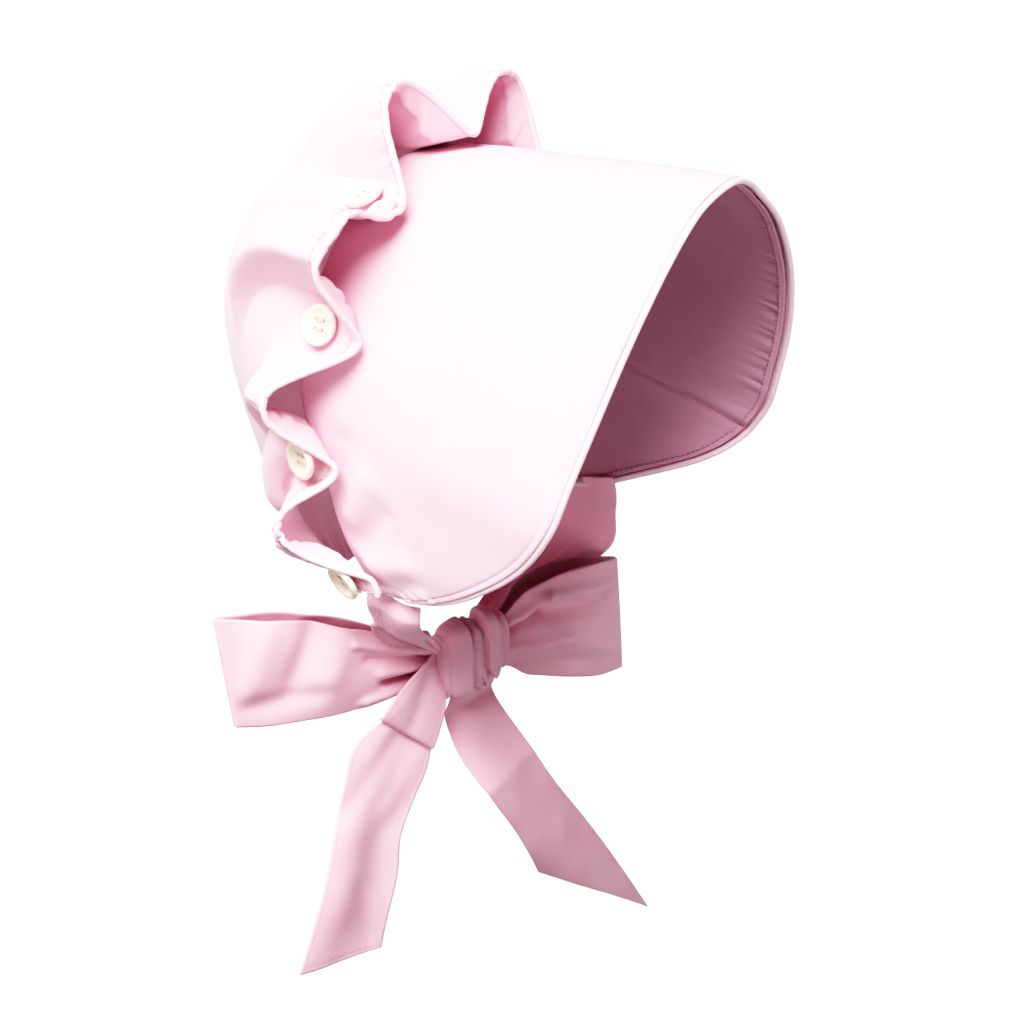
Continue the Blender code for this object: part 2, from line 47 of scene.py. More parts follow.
# The camera, which sees the bonnet from its right and above, 1.2 m from where it sits on the head
CAMERA_TURN = math.radians(-58)
CAMERA_RISE = math.radians(20.5)
CAMERA_AWAY = 1.2
CAMERA_LENS = 112.5
CAMERA_SENSOR = 36
PHOTO_WIDE = 1024
ORIGIN_AT = (450, 160)

# The sizes that the CAD was made from, apart from the piping, which is thicker there
BRIM_THICK = 1.4 * MM
LINING_THICK = 1.0 * MM
LINING_REACH = 0.992
CROWN_THICK = 1.2 * MM
RIBBON_THICK = 1.0 * MM
GAP = 0.35 * MM
LINING_GAP = 0.6 * MM
PIPING_GAP = 0.7 * MM
PIPING_RADIUS = 1.2 * MM
BRIM_BULGE = 1.5 * MM
BUTTON_DIAMETER = 15.5 * MM
BUTTON_THICK = 2.8 * MM
BUTTON_FLOOR = 9.4 * MM
FLOOR_STARTS = 2.0 * MM
KNOT_CENTRE = np.array((0.0, -5.5, -203.0)) * MM
BOW_YAW = math.radians(30)
HEAD_CENTRE = np.array((0.0, 15.0, -75.0)) * MM

# The brim's back edge, its front and lower edge, and the crown's edge at the nape, from the centre
# round one side: half the width there, how far back, and how high, in mm
BRIM_BACK = (
    (0, 12, 3), (22, 12.5, 0), (42, 14, -11.5), (57, 16, -27.5), (67, 18.5, -48.5),
    (71, 19.5, -72.5), (71, 14, -95), (69.5, 8, -113), (66, 4, -131), (62, -3, -147),
)
BRIM_RIM = (
    (0, -119, 9), (13, -117.5, 6), (25, -116, -0.5), (44, -115, -15.5), (62, -111.5, -38.5),
    (74, -106, -63.5), (80, -99, -86.5), (81.5, -92, -105), (76, -76, -124), (70.5, -53, -140),
    (65.5, -33, -149), (61, -12, -152.5),
)
NAPE = (
    (0, 50, -171), (14, 50, -168), (28, 48, -158), (46, 37, -144), (60, 24, -137),
    (65, 12, -142), (64, -2, -151),
)

# How full the crown is: share of the way down a side, how far a line leaves the brim straight back,
# and how far it rises out of the neck edge
FULLNESS = (
    (0.0, 76, 115), (0.25, 72, 102), (0.45, 44, 49), (0.6, 20, 28), (0.7, 19, 24),
    (0.85, 18, 15), (1.0, 3, 3),
)

# The ruffle: the way along the brim's back edge, how far it stands off the brim, how far it lies in
# front of the back edge, how far back it dies out, and how far a button sits behind it
RUFFLE_COLUMNS = ("along", "lift", "forward", "fades", "button")
RUFFLE_RIGHT = (
    (0, 5, 22, 20, 17), (21, 33, 8, 59, 0), (45, 8, 24, 18, 17), (50.5, 11, 24, 24, 0),
    (61, 32, 21, 90, 0), (72, 31, 17, 90, 0), (90, 4, 27, 16, 18), (116, 25, 3.5, 44, 0),
    (138, 4, 14, 12, 9.2), (164, 21, -9, 31, 0), (188.5, 5.5, 11, 24, 10), (197, 5.5, 9.5, 24, 0),
)
RUFFLE_LEFT = (
    (0, 5, 22, 20, 17), (25, 28, 15, 70, 0), (46, 4, 24, 16, 16), (66, 17, 20, 48, 0),
    (90, 4, 27, 16, 18), (116, 22, 5, 44, 0), (138, 4, 14, 12, 9.2), (161, 13, 0, 30, 0),
    (184, 5, 9, 24, 13), (197, 5, 9, 24, 0),
)

# The loops: the way out from the knot, the top and bottom edges, and half the gap between layers
LOOP_RIGHT = (
    (10, 9, -1.5, 2.5), (17, 12.5, -3, 3.5), (24, 14.5, -4, 5), (35, 19.5, -5, 7.5),
    (47, 25, -7, 9), (60, 29.5, -8, 9.5), (75, 34, -8, 8.5), (90, 36.5, -8, 5.5),
    (102.5, 38.5, -7, 1.6),
)
LOOP_LEFT = (
    (10, 11, -2, 3), (18.4, 19.5, -4.5, 5), (24, 26, -8, 8), (30, 29, -9.5, 9.5),
    (42, 32, -12.5, 10), (56, 32.5, -15.5, 8), (69.5, 31.5, -16, 1.6),
)
# How much further out a loop's top corner is than its bottom one
LOOP_SLANT_RIGHT = 7.0 * MM
LOOP_SLANT_LEFT = -3.0 * MM

# The loose ends: each edge's way across, up and out, and the curl
TAIL_RIGHT = (
    (-12, -5, 1, -6, -6, 1, 0.5), (-19, -15, 2, -13, -15.5, 2, 1),
    (-38, -16.5, 4, -17, -24, 4, 3), (-51.5, -24.5, 6, -20.5, -38, 6, 3),
    (-56.5, -39, 7, -27, -51.5, 7, 3), (-62.5, -61, 8, -33.5, -65.5, 8, 4),
    (-65.5, -76.5, 8, -35, -82, 8, 4), (-69.5, -92.5, 7, -39.5, -101, 7, 3),
    (-77, -118, 5, -41.5, -114.5, 5, 2),
)
TAIL_LEFT = (
    (-3, -5, 1, 11, -3, -1, 0.5), (-6.5, -15, 2, 15, -11.5, -2.5, 1),
    (-8, -23, 4, 16.5, -21.5, -1, 2.5), (-5, -38.5, 6, 25, -37.5, -1.5, 3),
    (5, -55.5, 5.5, 39.5, -60, -5, 3), (19, -76, 1.5, 59, -85.5, -10.5, 3),
    (27.5, -90, -2, 78, -111.5, -17.5, 3), (34.5, -102, -6.5, 101.5, -145.5, -26, 2),
)

# The ties from the brim to the knot: one edge, the other edge, and the curl
TIE_RIGHT = (
    (-58, 0, -154.5, -58, -23, -156.5, 1), (-55.6, 1.5, -162, -51.4, -18.5, -165.4, 2),
    (-51.6, 2.5, -174, -34, -10, -177, 2), (-37, 4.5, -185, -22.6, -4.5, -185, 2),
    (-14, 4, -197, -13, -3, -193.5, 1),
)
TIE_LEFT = (
    (59.6, -5, -142.5, 58.6, -38, -137.5, 0.5), (59.5, -4, -148.6, 59.5, -39, -143.6, 1),
    (58, -1, -157, 60, -38.5, -152, 2), (52, 1, -168, 58.5, -37, -167, 2),
    (38, 3, -181, 48, -20, -181, 2), (12, 3, -194, 15, -3, -195, 1),
)


# Curves and small sums

CURVE_STEPS = 16
EDGE_CUTS = 401
RIBBON_CUTS = 241
# The lengths of the waves in an uneven line, as shares of its own, and how many waves a rumple has
UNEVEN_WAVES = (1.0, 0.73, 1.41, 0.57)
RUMPLE_WAVES = 9
# How far past its ends a fold dies out, in its own widths
FOLD_FADES = 1.5


def unit(vectors):
    """The vectors at length 1."""
    return vectors / np.maximum(np.linalg.norm(vectors, axis=-1, keepdims=True), 1e-12)


def ease(share):
    """0 to 1 with level ends."""
    share = np.clip(share, 0.0, 1.0)
    return share * share * (3 - 2 * share)


def rise(place, first, over):
    """0 up to a place and 1 beyond it, softly over a stretch."""
    return ease((place - first) / over)


def between(place, first, over, last, last_over):
    """0 outside a stretch and 1 inside it, with soft ends."""
    return rise(place, first, over) * (1 - rise(place, last, last_over))


def bell(distance, wide):
    """1 at no distance, and dying out in about a width."""
    return np.exp(-(distance / wide) ** 2)


def mound(distance, form):
    """A soft ridge, or a valley where its height is below 0. Its form is its place, width and height,
    in mm."""
    at, wide, high = form
    return high * MM * bell(distance - at * MM, wide * MM)


def lengths_along(points):
    """The way along a polyline to each of its points."""
    steps = np.linalg.norm(np.diff(points, axis=0), axis=1)
    return np.concatenate([[0.0], np.cumsum(steps)])


def even_polyline(points, count):
    """The polyline cut again at even steps."""
    way = lengths_along(points)
    stops = np.linspace(0, way[-1], count)
    return np.stack([np.interp(stops, way, points[:, k]) for k in range(points.shape[1])], axis=1)


def smooth_through(rows, count):
    """A smooth curve through a table's rows, in metres, as an even polyline."""
    points = np.asarray(rows, dtype=float) * MM
    padded = np.vstack([2 * points[0] - points[1], points, 2 * points[-1] - points[-2]])
    dense = []
    for i in range(1, len(padded) - 2):
        p0, p1, p2, p3 = padded[i - 1:i + 3]
        for t in np.linspace(0, 1, CURVE_STEPS, endpoint=False):
            dense.append(0.5 * (2 * p1 + (p2 - p0) * t + (2 * p0 - 5 * p1 + 4 * p2 - p3) * t ** 2
                                + (3 * p1 - p0 - 3 * p2 + p3) * t ** 3))
    dense.append(points[-1])
    return even_polyline(np.array(dense), count)


def mirrored_curve(rows):
    """A curve through a half table and its mirror image, from the right side (-X) to the left."""
    half = np.array(rows, dtype=float)
    return smooth_through(np.vstack([half[:0:-1] * np.array([-1, 1, 1]), half]), EDGE_CUTS)


def points_on(curve, share):
    """The points at shares of a curve's length, which may run a little past its ends."""
    place = np.asarray(share, dtype=float) * (len(curve) - 1)
    low = np.clip(np.floor(place).astype(int), 0, len(curve) - 2)
    return curve[low] + (curve[low + 1] - curve[low]) * (place - low)[..., None]


def uneven(x, wave, seed):
    """A wavy line, from -1 to 1, of about one wavelength, whose waves differ from each other."""
    chance = np.random.default_rng(seed)
    total = 0
    for stretch in UNEVEN_WAVES:
        total = total + chance.uniform(0.6, 1.0) * np.sin(2 * math.pi * x / (wave * stretch)
                                                          + chance.uniform(0, 2 * math.pi))
    return total / 3


def rumple(points, form, seed):
    """Soft unevenness in space. Its form is the length and the height of its waves, in mm."""
    wave, high = form
    chance = np.random.default_rng(seed)
    total = 0
    for _ in range(RUMPLE_WAVES):
        toward = unit(chance.normal(size=3)) * 2 * math.pi / (wave * MM * chance.uniform(0.7, 1.6))
        total = total + np.sin(points @ toward + chance.uniform(0, 2 * math.pi))
    return high * MM * total / 4


FOLD_COLUMNS = ("from_x", "from_y", "to_x", "to_y", "wide", "high")


def folds(x, y, rows):
    """How far folds push a sheet out, where x and y are places on it in mm. Each row of the table is a
    ridge, or a hollow where its height is below 0, along a line that it dies out past the ends of."""
    total = np.zeros(np.broadcast(x, y).shape)
    for row in rows:
        fold = dict(zip(FOLD_COLUMNS, row))
        run = np.array((fold["to_x"] - fold["from_x"], fold["to_y"] - fold["from_y"]), dtype=float)
        long = np.linalg.norm(run)
        run = run / long
        ahead = (x - fold["from_x"]) * run[0] + (y - fold["from_y"]) * run[1]
        aside = (y - fold["from_y"]) * run[0] - (x - fold["from_x"]) * run[1]
        past = np.maximum(0, np.maximum(-ahead, ahead - long))
        total = total + fold["high"] * MM * bell(aside, fold["wide"]) * bell(past, FOLD_FADES * fold["wide"])
    return total


# Meshes

# How a cord is rounded off: how far past its end a ring lies and how wide it is, in radii
CORD_ENDS = ((1.0, 0.25), (0.7, 0.75))
# A direction that no cord starts along
ASIDE = (0.3, 0.2, 0.93)


def placed_object(name, data):
    """An object of the scene."""
    made = bpy.data.objects.new(name, data)
    bpy.context.scene.collection.objects.link(made)
    return made


def finished_mesh(name, shape):
    """A mesh from a bmesh, which is freed."""
    mesh = bpy.data.meshes.new(name)
    shape.to_mesh(mesh)
    shape.free()
    return mesh


def evaluated_mesh(item):
    """The mesh of an object with its modifiers applied. The object is removed."""
    bpy.context.view_layer.update()
    made = bpy.data.meshes.new_from_object(item.evaluated_get(bpy.context.evaluated_depsgraph_get()))
    made.shade_smooth()
    bpy.data.objects.remove(item)
    return made


def mesh_object(name, points, faces, uvs, finish):
    """A smooth mesh object with a UV map in metres along the cloth."""
    mesh = bpy.data.meshes.new(name)
    mesh.from_pydata(points.tolist(), [], faces.tolist())
    corners = np.zeros(len(mesh.loops), dtype=np.int32)
    mesh.loops.foreach_get("vertex_index", corners)
    layer = mesh.uv_layers.new(name="UVMap")
    layer.data.foreach_set("uv", uvs[corners].astype(np.float32).ravel())
    mesh.shade_smooth()
    mesh.materials.append(finish)
    return placed_object(name, mesh)


def facing_out(points, faces):
    """The faces of a closed shape, turned round where they face inwards."""
    a, b, c, d = (points[faces[:, k]] for k in range(4))
    volume = np.einsum("ij,ij->i", a, np.cross(b, c) + np.cross(c, d)).sum()
    return faces if volume > 0 else faces[:, ::-1]


def grid_normals(middle):
    """The direction square to a grid of points, at each of them."""
    return unit(np.cross(np.gradient(middle, axis=0), np.gradient(middle, axis=1)))


def tube_faces(number):
    """The faces of a tube whose points are numbered ring by ring, with both of its ends closed."""
    beside = np.roll(number, -1, axis=1)
    wall = np.stack([number[:-1], number[1:], beside[1:], beside[:-1]], axis=-1).reshape(-1, 4)
    caps = []
    for row in (0, -1):
        ring = number[row]
        for k in range(len(ring) // 2 - 1):
            quad = (ring[k], ring[k + 1], ring[-2 - k], ring[-1 - k])
            caps.append(quad if row else quad[::-1])
    return np.vstack([wall, caps])


def cloth_wall(name, middle, thick, finish):
    """A closed wall of cloth: two layers, half a thickness either side of its middle, with rounded
    edges."""
    rows, columns = middle.shape[:2]
    square = grid_normals(middle) * thick / 2
    along = np.linalg.norm(np.diff(middle, axis=0), axis=2)
    across = np.linalg.norm(np.diff(middle, axis=1), axis=2)
    u = np.vstack([np.zeros((1, columns)), np.cumsum(along, axis=0)])
    v = np.hstack([np.zeros((rows, 1)), np.cumsum(across, axis=1)])
    u = u - u[rows // 2]
    number = np.arange(rows * columns).reshape(rows, columns)
    rim = np.concatenate([number[:, 0], number[-1, 1:], number[-2::-1, -1], number[0, -2:0:-1]])
    inner = np.clip(np.stack(np.unravel_index(rim, (rows, columns)), axis=1),
                    1, (rows - 2, columns - 2))
    flat = middle.reshape(-1, 3)
    edge = flat[rim]
    out = unit(edge - middle[inner[:, 0], inner[:, 1]]) * thick / 2
    points = np.vstack([flat + square.reshape(-1, 3), flat - square.reshape(-1, 3), edge + out])
    uvs = np.stack([u.ravel(), v.ravel()], axis=1)
    uvs = np.vstack([uvs, uvs, uvs[rim]])
    top = np.stack([number[:-1, :-1], number[1:, :-1], number[1:, 1:], number[:-1, 1:]], axis=-1)
    top = top.reshape(-1, 4)
    ring = np.arange(len(rim)) + 2 * rows * columns
    after, ring_after = np.roll(rim, -1), np.roll(ring, -1)
    below = rows * columns
    upper = np.stack([after, rim, ring, ring_after], axis=1)
    lower = np.stack([ring_after, ring, rim + below, after + below], axis=1)
    faces = np.vstack([top, top[:, ::-1] + below, upper, lower])
    return mesh_object(name, points, faces, uvs, finish)


def round_cord(name, points, radius, sides, finish):
    """A closed round cord along the points, with rounded ends."""
    way = unit(np.gradient(points, axis=0))
    side = [unit(np.cross(way[0], ASIDE))]
    for i in range(1, len(points)):
        side.append(unit(side[-1] - way[i] * np.dot(side[-1], way[i])))
    side = np.array(side)
    up = np.cross(way, side)

    def ring(at, past=0.0, wide=1.0):
        return points[at] + way[at] * past * radius, side[at], up[at], radius * wide

    rings = [ring(0, -past, wide) for past, wide in CORD_ENDS]
    rings += [ring(i) for i in range(len(points))]
    rings += [ring(-1, past, wide) for past, wide in CORD_ENDS[::-1]]
    turn = np.linspace(0, 2 * math.pi, sides, endpoint=False)
    placed = np.array([centre + (np.outer(np.cos(turn), a) + np.outer(np.sin(turn), b)) * wide
                       for centre, a, b, wide in rings])
    count = len(rings)
    run = lengths_along(placed.mean(axis=1))
    uvs = np.stack([np.repeat(run, sides), np.tile(turn * radius, count)], axis=1)
    flat = placed.reshape(-1, 3)
    faces = tube_faces(np.arange(count * sides).reshape(count, sides))
    return mesh_object(name, flat, facing_out(flat, faces), uvs, finish)


# Finishes

def linear(hex_colour):
    """A linear colour from its sRGB hex value."""
    parts = [int(hex_colour[i:i + 2], 16) / 255 for i in (0, 2, 4)]
    return (*[p / 12.92 if p <= 0.04045 else ((p + 0.055) / 1.055) ** 2.4 for p in parts], 1)


def set_inputs(tree, node, inputs):
    """Gives each input a value or another node's output."""
    for name, value in inputs.items():
        if isinstance(value, bpy.types.NodeSocket):
            tree.links.new(value, node.inputs[name])
        else:
            node.inputs[name].default_value = value


def add_node(tree, kind, inputs, **settings):
    """A node with its settings."""
    node = tree.nodes.new(kind)
    for name, value in settings.items():
        setattr(node, name, value)
    set_inputs(tree, node, inputs)
    return node


def new_material(name):
    """A material with its node tree and its coordinates."""
    made = bpy.data.materials.new(name)
    made.use_nodes = True
    return made, made.node_tree, add_node(made.node_tree, "ShaderNodeTexCoord", {}).outputs


def set_shader(tree, share, face_colour, deep_colour, inputs):
    """Colours a material from one colour to another by a share, and sets its shader's other inputs."""
    colour = add_node(tree, "ShaderNodeMix", {0: share, 6: linear(face_colour), 7: linear(deep_colour)},
                      data_type="RGBA")
    set_inputs(tree, tree.nodes["Principled BSDF"], {"Base Color": colour.outputs[2], **inputs})


# Sizes of the drawn patterns: cotton threads, patches of dye and fibres to a metre, twists of thread
THREAD_SPACING = 0.9 * MM
DYE_PATCHES = 45.0
FIBRES = 1400.0
TWIST_SPACING = 0.5 * MM
# A wave texture turns this many radians in one unit
WAVE_TURNS = 20
COTTON_GLOW_COLOUR = (1.0, 0.55, 0.65)
COTTON_GLOW_REACH = 1.2 * MM


def woven_cotton(name, face_colour, deep_colour, roughness, sheen, glow):
    """Plain-woven cotton, brushed soft. Its crossing threads are 0.25 mm apart and are drawn at 0.9 mm,
    since the real ones are finer than the render shows. The eye sees a matt face with a faint grain,
    a little lighter or deeper from place to place where the dye has taken unevenly."""
    made, tree, place = new_material(name)
    scale = 2 * math.pi / WAVE_TURNS / THREAD_SPACING
    warp, weft = (add_node(tree, "ShaderNodeTexWave",
                           {"Vector": place["UV"], "Scale": scale, "Distortion": 0.8, "Detail": 1.0,
                            "Detail Scale": 0.6}, bands_direction=direction) for direction in "XY")
    weave = add_node(tree, "ShaderNodeMath", {0: warp.outputs["Fac"], 1: weft.outputs["Fac"]},
                     operation="MAXIMUM")
    patches = add_node(tree, "ShaderNodeTexNoise",
                       {"Vector": place["Object"], "Scale": DYE_PATCHES, "Detail": 3.0,
                        "Roughness": 0.55})
    fibres = add_node(tree, "ShaderNodeTexNoise",
                      {"Vector": place["UV"], "Scale": FIBRES, "Detail": 2.0})
    relief = add_node(tree, "ShaderNodeMath", {0: weave.outputs[0], 1: fibres.outputs["Fac"]},
                      operation="ADD")
    bump = add_node(tree, "ShaderNodeBump",
                    {"Height": relief.outputs[0], "Strength": 0.16, "Distance": 0.1 * MM})
    dye = add_node(tree, "ShaderNodeMapRange",
                   {"Value": patches.outputs["Fac"], "From Min": 0.35, "From Max": 0.75,
                    "To Min": 0.0, "To Max": 0.5})
    grain = add_node(tree, "ShaderNodeMath", {0: weave.outputs[0], 1: -0.1, 2: 0.1},
                     operation="MULTIPLY_ADD")
    deep = add_node(tree, "ShaderNodeMath", {0: dye.outputs[0], 1: grain.outputs[0]},
                    operation="ADD", use_clamp=True)
    set_shader(tree, deep.outputs[0], face_colour, deep_colour,
               {"Normal": bump.outputs["Normal"], "Roughness": roughness, "Specular IOR Level": 0.2,
                "Sheen Weight": sheen, "Sheen Roughness": 0.5, "Subsurface Weight": glow,
                "Subsurface Radius": COTTON_GLOW_COLOUR, "Subsurface Scale": COTTON_GLOW_REACH})
    return made


def moulded_ivory(name):
    """Polyester button, cast in layers and polished. The eye sees a warm ivory with faint cloudy layers
    and soft highlights on its rim."""
    made, tree, place = new_material(name)
    clouds = add_node(tree, "ShaderNodeTexNoise",
                      {"Vector": place["Object"], "Scale": 260.0, "Detail": 2.0, "Distortion": 1.2})
    scratches = add_node(tree, "ShaderNodeTexNoise",
                         {"Vector": place["Object"], "Scale": 900.0, "Detail": 3.0})
    polish = add_node(tree, "ShaderNodeMapRange",
                      {"Value": scratches.outputs["Fac"], "To Min": 0.2, "To Max": 0.34})
    set_shader(tree, clouds.outputs["Fac"], "FAEBDA", "F2DFC8",
               {"Roughness": polish.outputs[0], "IOR": 1.54})
    return made


def sewing_thread(name, face_colour, deep_colour):
    """Spun polyester thread, two strands twisted. The eye sees short dashes with a slanting twist,
    which is drawn at 0.5 mm where the real one is 0.2 mm."""
    made, tree, place = new_material(name)
    twist = add_node(tree, "ShaderNodeTexWave",
                     {"Vector": place["Object"], "Scale": 2 * math.pi / WAVE_TURNS / TWIST_SPACING},
                     bands_direction="DIAGONAL")
    bump = add_node(tree, "ShaderNodeBump",
                    {"Height": twist.outputs["Fac"], "Strength": 0.3, "Distance": 0.05 * MM})
    set_shader(tree, twist.outputs["Fac"], face_colour, deep_colour,
               {"Normal": bump.outputs["Normal"], "Roughness": 0.6})
    return made


CROWN_COTTON = woven_cotton("brushed_cotton", "F5C9D7", "F1BFCE", 0.85, 0.1, 0.6)
# The lining's colour is deeper than the outer cloth's: part of that is painted shade, for the shade that
# falls inside the brim.
LINING_COTTON = woven_cotton("lining_cotton", "D0A2B4", "C798AA", 0.85, 0.08, 0.15)
RIBBON_COTTON = woven_cotton("ribbon_cotton", "F3BFCE", "ECB1C2", 0.8, 0.12, 0.28)
PIPING_COTTON = woven_cotton("piping_cotton", "F8D8E3", "F3CDD9", 0.85, 0.1, 0.4)
IVORY = moulded_ivory("cast_ivory")
THREAD = sewing_thread("sewing_thread", "E9A6BC", "D98CA6")
LINING_THREAD = sewing_thread("lining_thread", "A86A80", "965A70")
BUTTON_THREAD = sewing_thread("button_thread", "F6E3D8", "DDB9A8")


# The brim

BACK_CURVE = mirrored_curve(BRIM_BACK)
RIM_CURVE = mirrored_curve(BRIM_RIM)
NAPE_CURVE = mirrored_curve(NAPE)
BACK_HALF = lengths_along(BACK_CURVE)[-1] / 2
NORMAL_STEP = 0.01
# The sharp fold at the left lower corner, a little deeper and narrower than the solid's
CREASE_DEPTH = 4.2 * MM
CREASE_WIDTH = 0.075
CREASE_AT_RIM = 17 / 26
CREASE_STARTS = 0.3
CREASE_REACH = 0.25
CREASE_RAISE = 9.0 * MM
CREASE_TUCK = 3.0 * MM
CORNER_FROM = 0.8


def brim_base(u, v):
    """The outer surface of the brim: u runs from -1 to 1 down the sides, v from back to front."""
    u, v = np.broadcast_arrays(np.asarray(u, dtype=float), np.asarray(v, dtype=float))
    share = 0.5 + 0.5 * u
    below = rise(u, CREASE_AT_RIM, CREASE_REACH)
    corner = rise(u, CORNER_FROM, 1 - CORNER_FROM)
    drawn = (below * (v + (1 - v) * corner))[..., None] * np.array((-CREASE_TUCK, 0, CREASE_RAISE))
    back, front = points_on(BACK_CURVE, share), points_on(RIM_CURVE, share)
    return back + (front - back) * v[..., None] + drawn


def brim_normal(u, v):
    """The outward direction of the brim."""
    low, high = np.maximum(u - NORMAL_STEP, -1), np.minimum(u + NORMAL_STEP, 1)
    along = brim_base(high, v) - brim_base(low, v)
    forward = brim_base(u, v + NORMAL_STEP) - brim_base(u, v - NORMAL_STEP)
    return unit(np.cross(along, -forward))


def brim_point(u, v, inward=0.0):
    """Points of the brim, moved inward by a distance, with the sharp fold at the left lower corner."""
    u, v = np.broadcast_arrays(np.asarray(u, dtype=float), np.asarray(v, dtype=float))
    bulge = BRIM_BULGE * 4 * v * (1 - v)
    crease = (CREASE_DEPTH * np.maximum(0, 1 - np.abs(u - CREASE_AT_RIM) / CREASE_WIDTH)
              * rise(v, CREASE_STARTS, 1 - CREASE_STARTS))
    return brim_base(u, v) + brim_normal(u, v) * (bulge + crease - inward)[..., None]


# Folds and valleys at the brim's lower back corners. Each runs from one place to another, told by the
# way up the side from the corner and the way forward of the back edge, with its width and height, in mm
CORNER_FOLDS = (
    (54, 6, 76, 16, 6.0, 2.0), (44, 8, 66, 20, 5.0, -1.2), (35, 10, 56, 26, 6.0, 2.4),
    (26, 12, 44, 30, 5.0, -1.2), (16, 14, 28, 34, 5.0, 2.2), (8, 26, 18, 38, 3.0, 1.6),
    (3, 36, 15, 43, 2.6, 1.4), (3, 42, 15, 48, 2.4, -1.0), (3, 48, 15, 54, 2.6, 1.4),
    (3, 54, 14, 60, 2.4, -1.0),
)
BRIM_ROWS = 440
BRIM_COLUMNS = 84
# How much closer together the columns lie at the front edge
BRIM_CROWDING = 1.35
# Forms along the front edge of the outer cloth: how far behind the edge each lies, its width and its
# height, in mm. They are its seam, its unevenness, the gathers at the lower corners and a ridge on the
# left side
EDGE_SEAM = (2.4, 0.8, -0.35)
EDGE_WAVE = (2.4, 3, 0.12)
GATHERS = (3.5, 5, 0.8)
RIDGE = (5, 4, 1.1)
RIDGE_STARTS = 0.6 * MM
EDGE_WAVE_LENGTH = 4 * MM
GATHERS_WAVE = 6.5 * MM
# Where the ridge lies down the side, and where the gathers begin
RIDGE_STRETCH = (0.05, 0.15, 0.5, 0.15)
GATHERS_RISE = (0.84, 0.05)
BRIM_RUMPLE = (55, 0.25)
# The lining's seam, and its puckers, which are full along a stretch down the left side
LINING_SEAM_AT = 2.0 * MM
LINING_SEAM = (0, 0.5, -0.6)
PUCKERS_STRETCH = (0.16, 0.1, 0.56, 0.08)
PUCKERS_ELSEWHERE = 0.25
PUCKER_DEPTH, PUCKER_STARTS = 1.3 * MM, 0.8 * MM
PUCKER_WAVES = (7.5 * MM, 3.8 * MM)
PUCKER_LONG, PUCKER_LONG_VARIES, PUCKER_LONG_WAVE = 7 * MM, 3 * MM, 9 * MM
LINING_RUMPLE = (50, -0.35)
# The lining's crease: a narrow line with raised lips, how it slants and where it begins
CREASE_LINE = (0, 1.1, 2.4)
CREASE_LIPS = (-1, 4.5, -1.9)
CREASE_SLANT = 0.035
LINING_CREASE_RISE = (0.25, 0.3)
# The piping, and how far off the cloths' edges it lies, as shares of the solids' gap
PIPING_POINTS, CROWN_PIPING_POINTS, PIPING_SIDES = 460, 900, 16
PIPING_OFF, CROWN_PIPING_OFF = 0.4, 0.2


def edge_ahead(edge, inside):
    """The direction out of a cloth's edge, square to it."""
    way = unit(np.gradient(edge, axis=0))
    ahead = edge - inside
    return unit(ahead - way * np.sum(ahead * way, axis=1, keepdims=True))


def brim_outer(u, v, reach):
    """The brim's outer cloth."""
    from_rim = (1 - v) * reach
    way = u * BACK_HALF
    middle = brim_point(u, v)
    push = folds((1 - np.abs(u)) * BACK_HALF / MM, v * reach / MM, CORNER_FOLDS)
    left = between(u, *RIDGE_STRETCH) * (from_rim > RIDGE_STARTS)
    corner = rise(np.abs(u), *GATHERS_RISE)
    push = push + mound(from_rim, EDGE_SEAM) + left * mound(from_rim, RIDGE)
    push = push + rumple(middle, BRIM_RUMPLE, seed=5)
    push = push + uneven(way, EDGE_WAVE_LENGTH, seed=6) * mound(from_rim, EDGE_WAVE)
    push = push + corner * np.minimum(0, uneven(way, GATHERS_WAVE, seed=7)) * mound(from_rim, GATHERS)
    return cloth_wall("brim_cloth", middle + brim_normal(u, v) * push[..., None], BRIM_THICK,
                      CROWN_COTTON)


def brim_lining(u, v, reach, inward):
    """The brim's lining, and the line of its seam."""
    v = v * LINING_REACH
    from_rim = (LINING_REACH - v) * reach
    way = u * BACK_HALF
    middle = brim_point(u, v, inward)
    full = PUCKERS_ELSEWHERE + (1 - PUCKERS_ELSEWHERE) * between(u, *PUCKERS_STRETCH)
    lines = 0.5 * uneven(way, PUCKER_WAVES[0], seed=11) + uneven(way, PUCKER_WAVES[1], seed=12)
    long = PUCKER_LONG + PUCKER_LONG_VARIES * uneven(way, PUCKER_LONG_WAVE, seed=13)
    past = from_rim - LINING_SEAM_AT
    push = -PUCKER_DEPTH * full * lines * ease(past / PUCKER_STARTS) * bell(np.maximum(0, past), long)
    push = push + mound(past, LINING_SEAM)
    push = push + rumple(middle, LINING_RUMPLE, seed=9) + LINING_RUMPLE[1] * MM
    aside = (u - CREASE_AT_RIM + CREASE_SLANT * (1 - v)) * BACK_HALF
    pinched = mound(aside, CREASE_LINE) + mound(aside, CREASE_LIPS)
    push = push + pinched * rise(v, *LINING_CREASE_RISE)
    middle = middle + brim_normal(u, v) * push[..., None]
    at = np.argmin(np.abs(past), axis=1)
    seam = middle[np.arange(BRIM_ROWS), at] - brim_normal(u[:, 0], v[0, at]) * (LINING_THICK / 2)
    return cloth_wall("brim_lining_cloth", middle, LINING_THICK, LINING_COTTON), seam[2:-2]


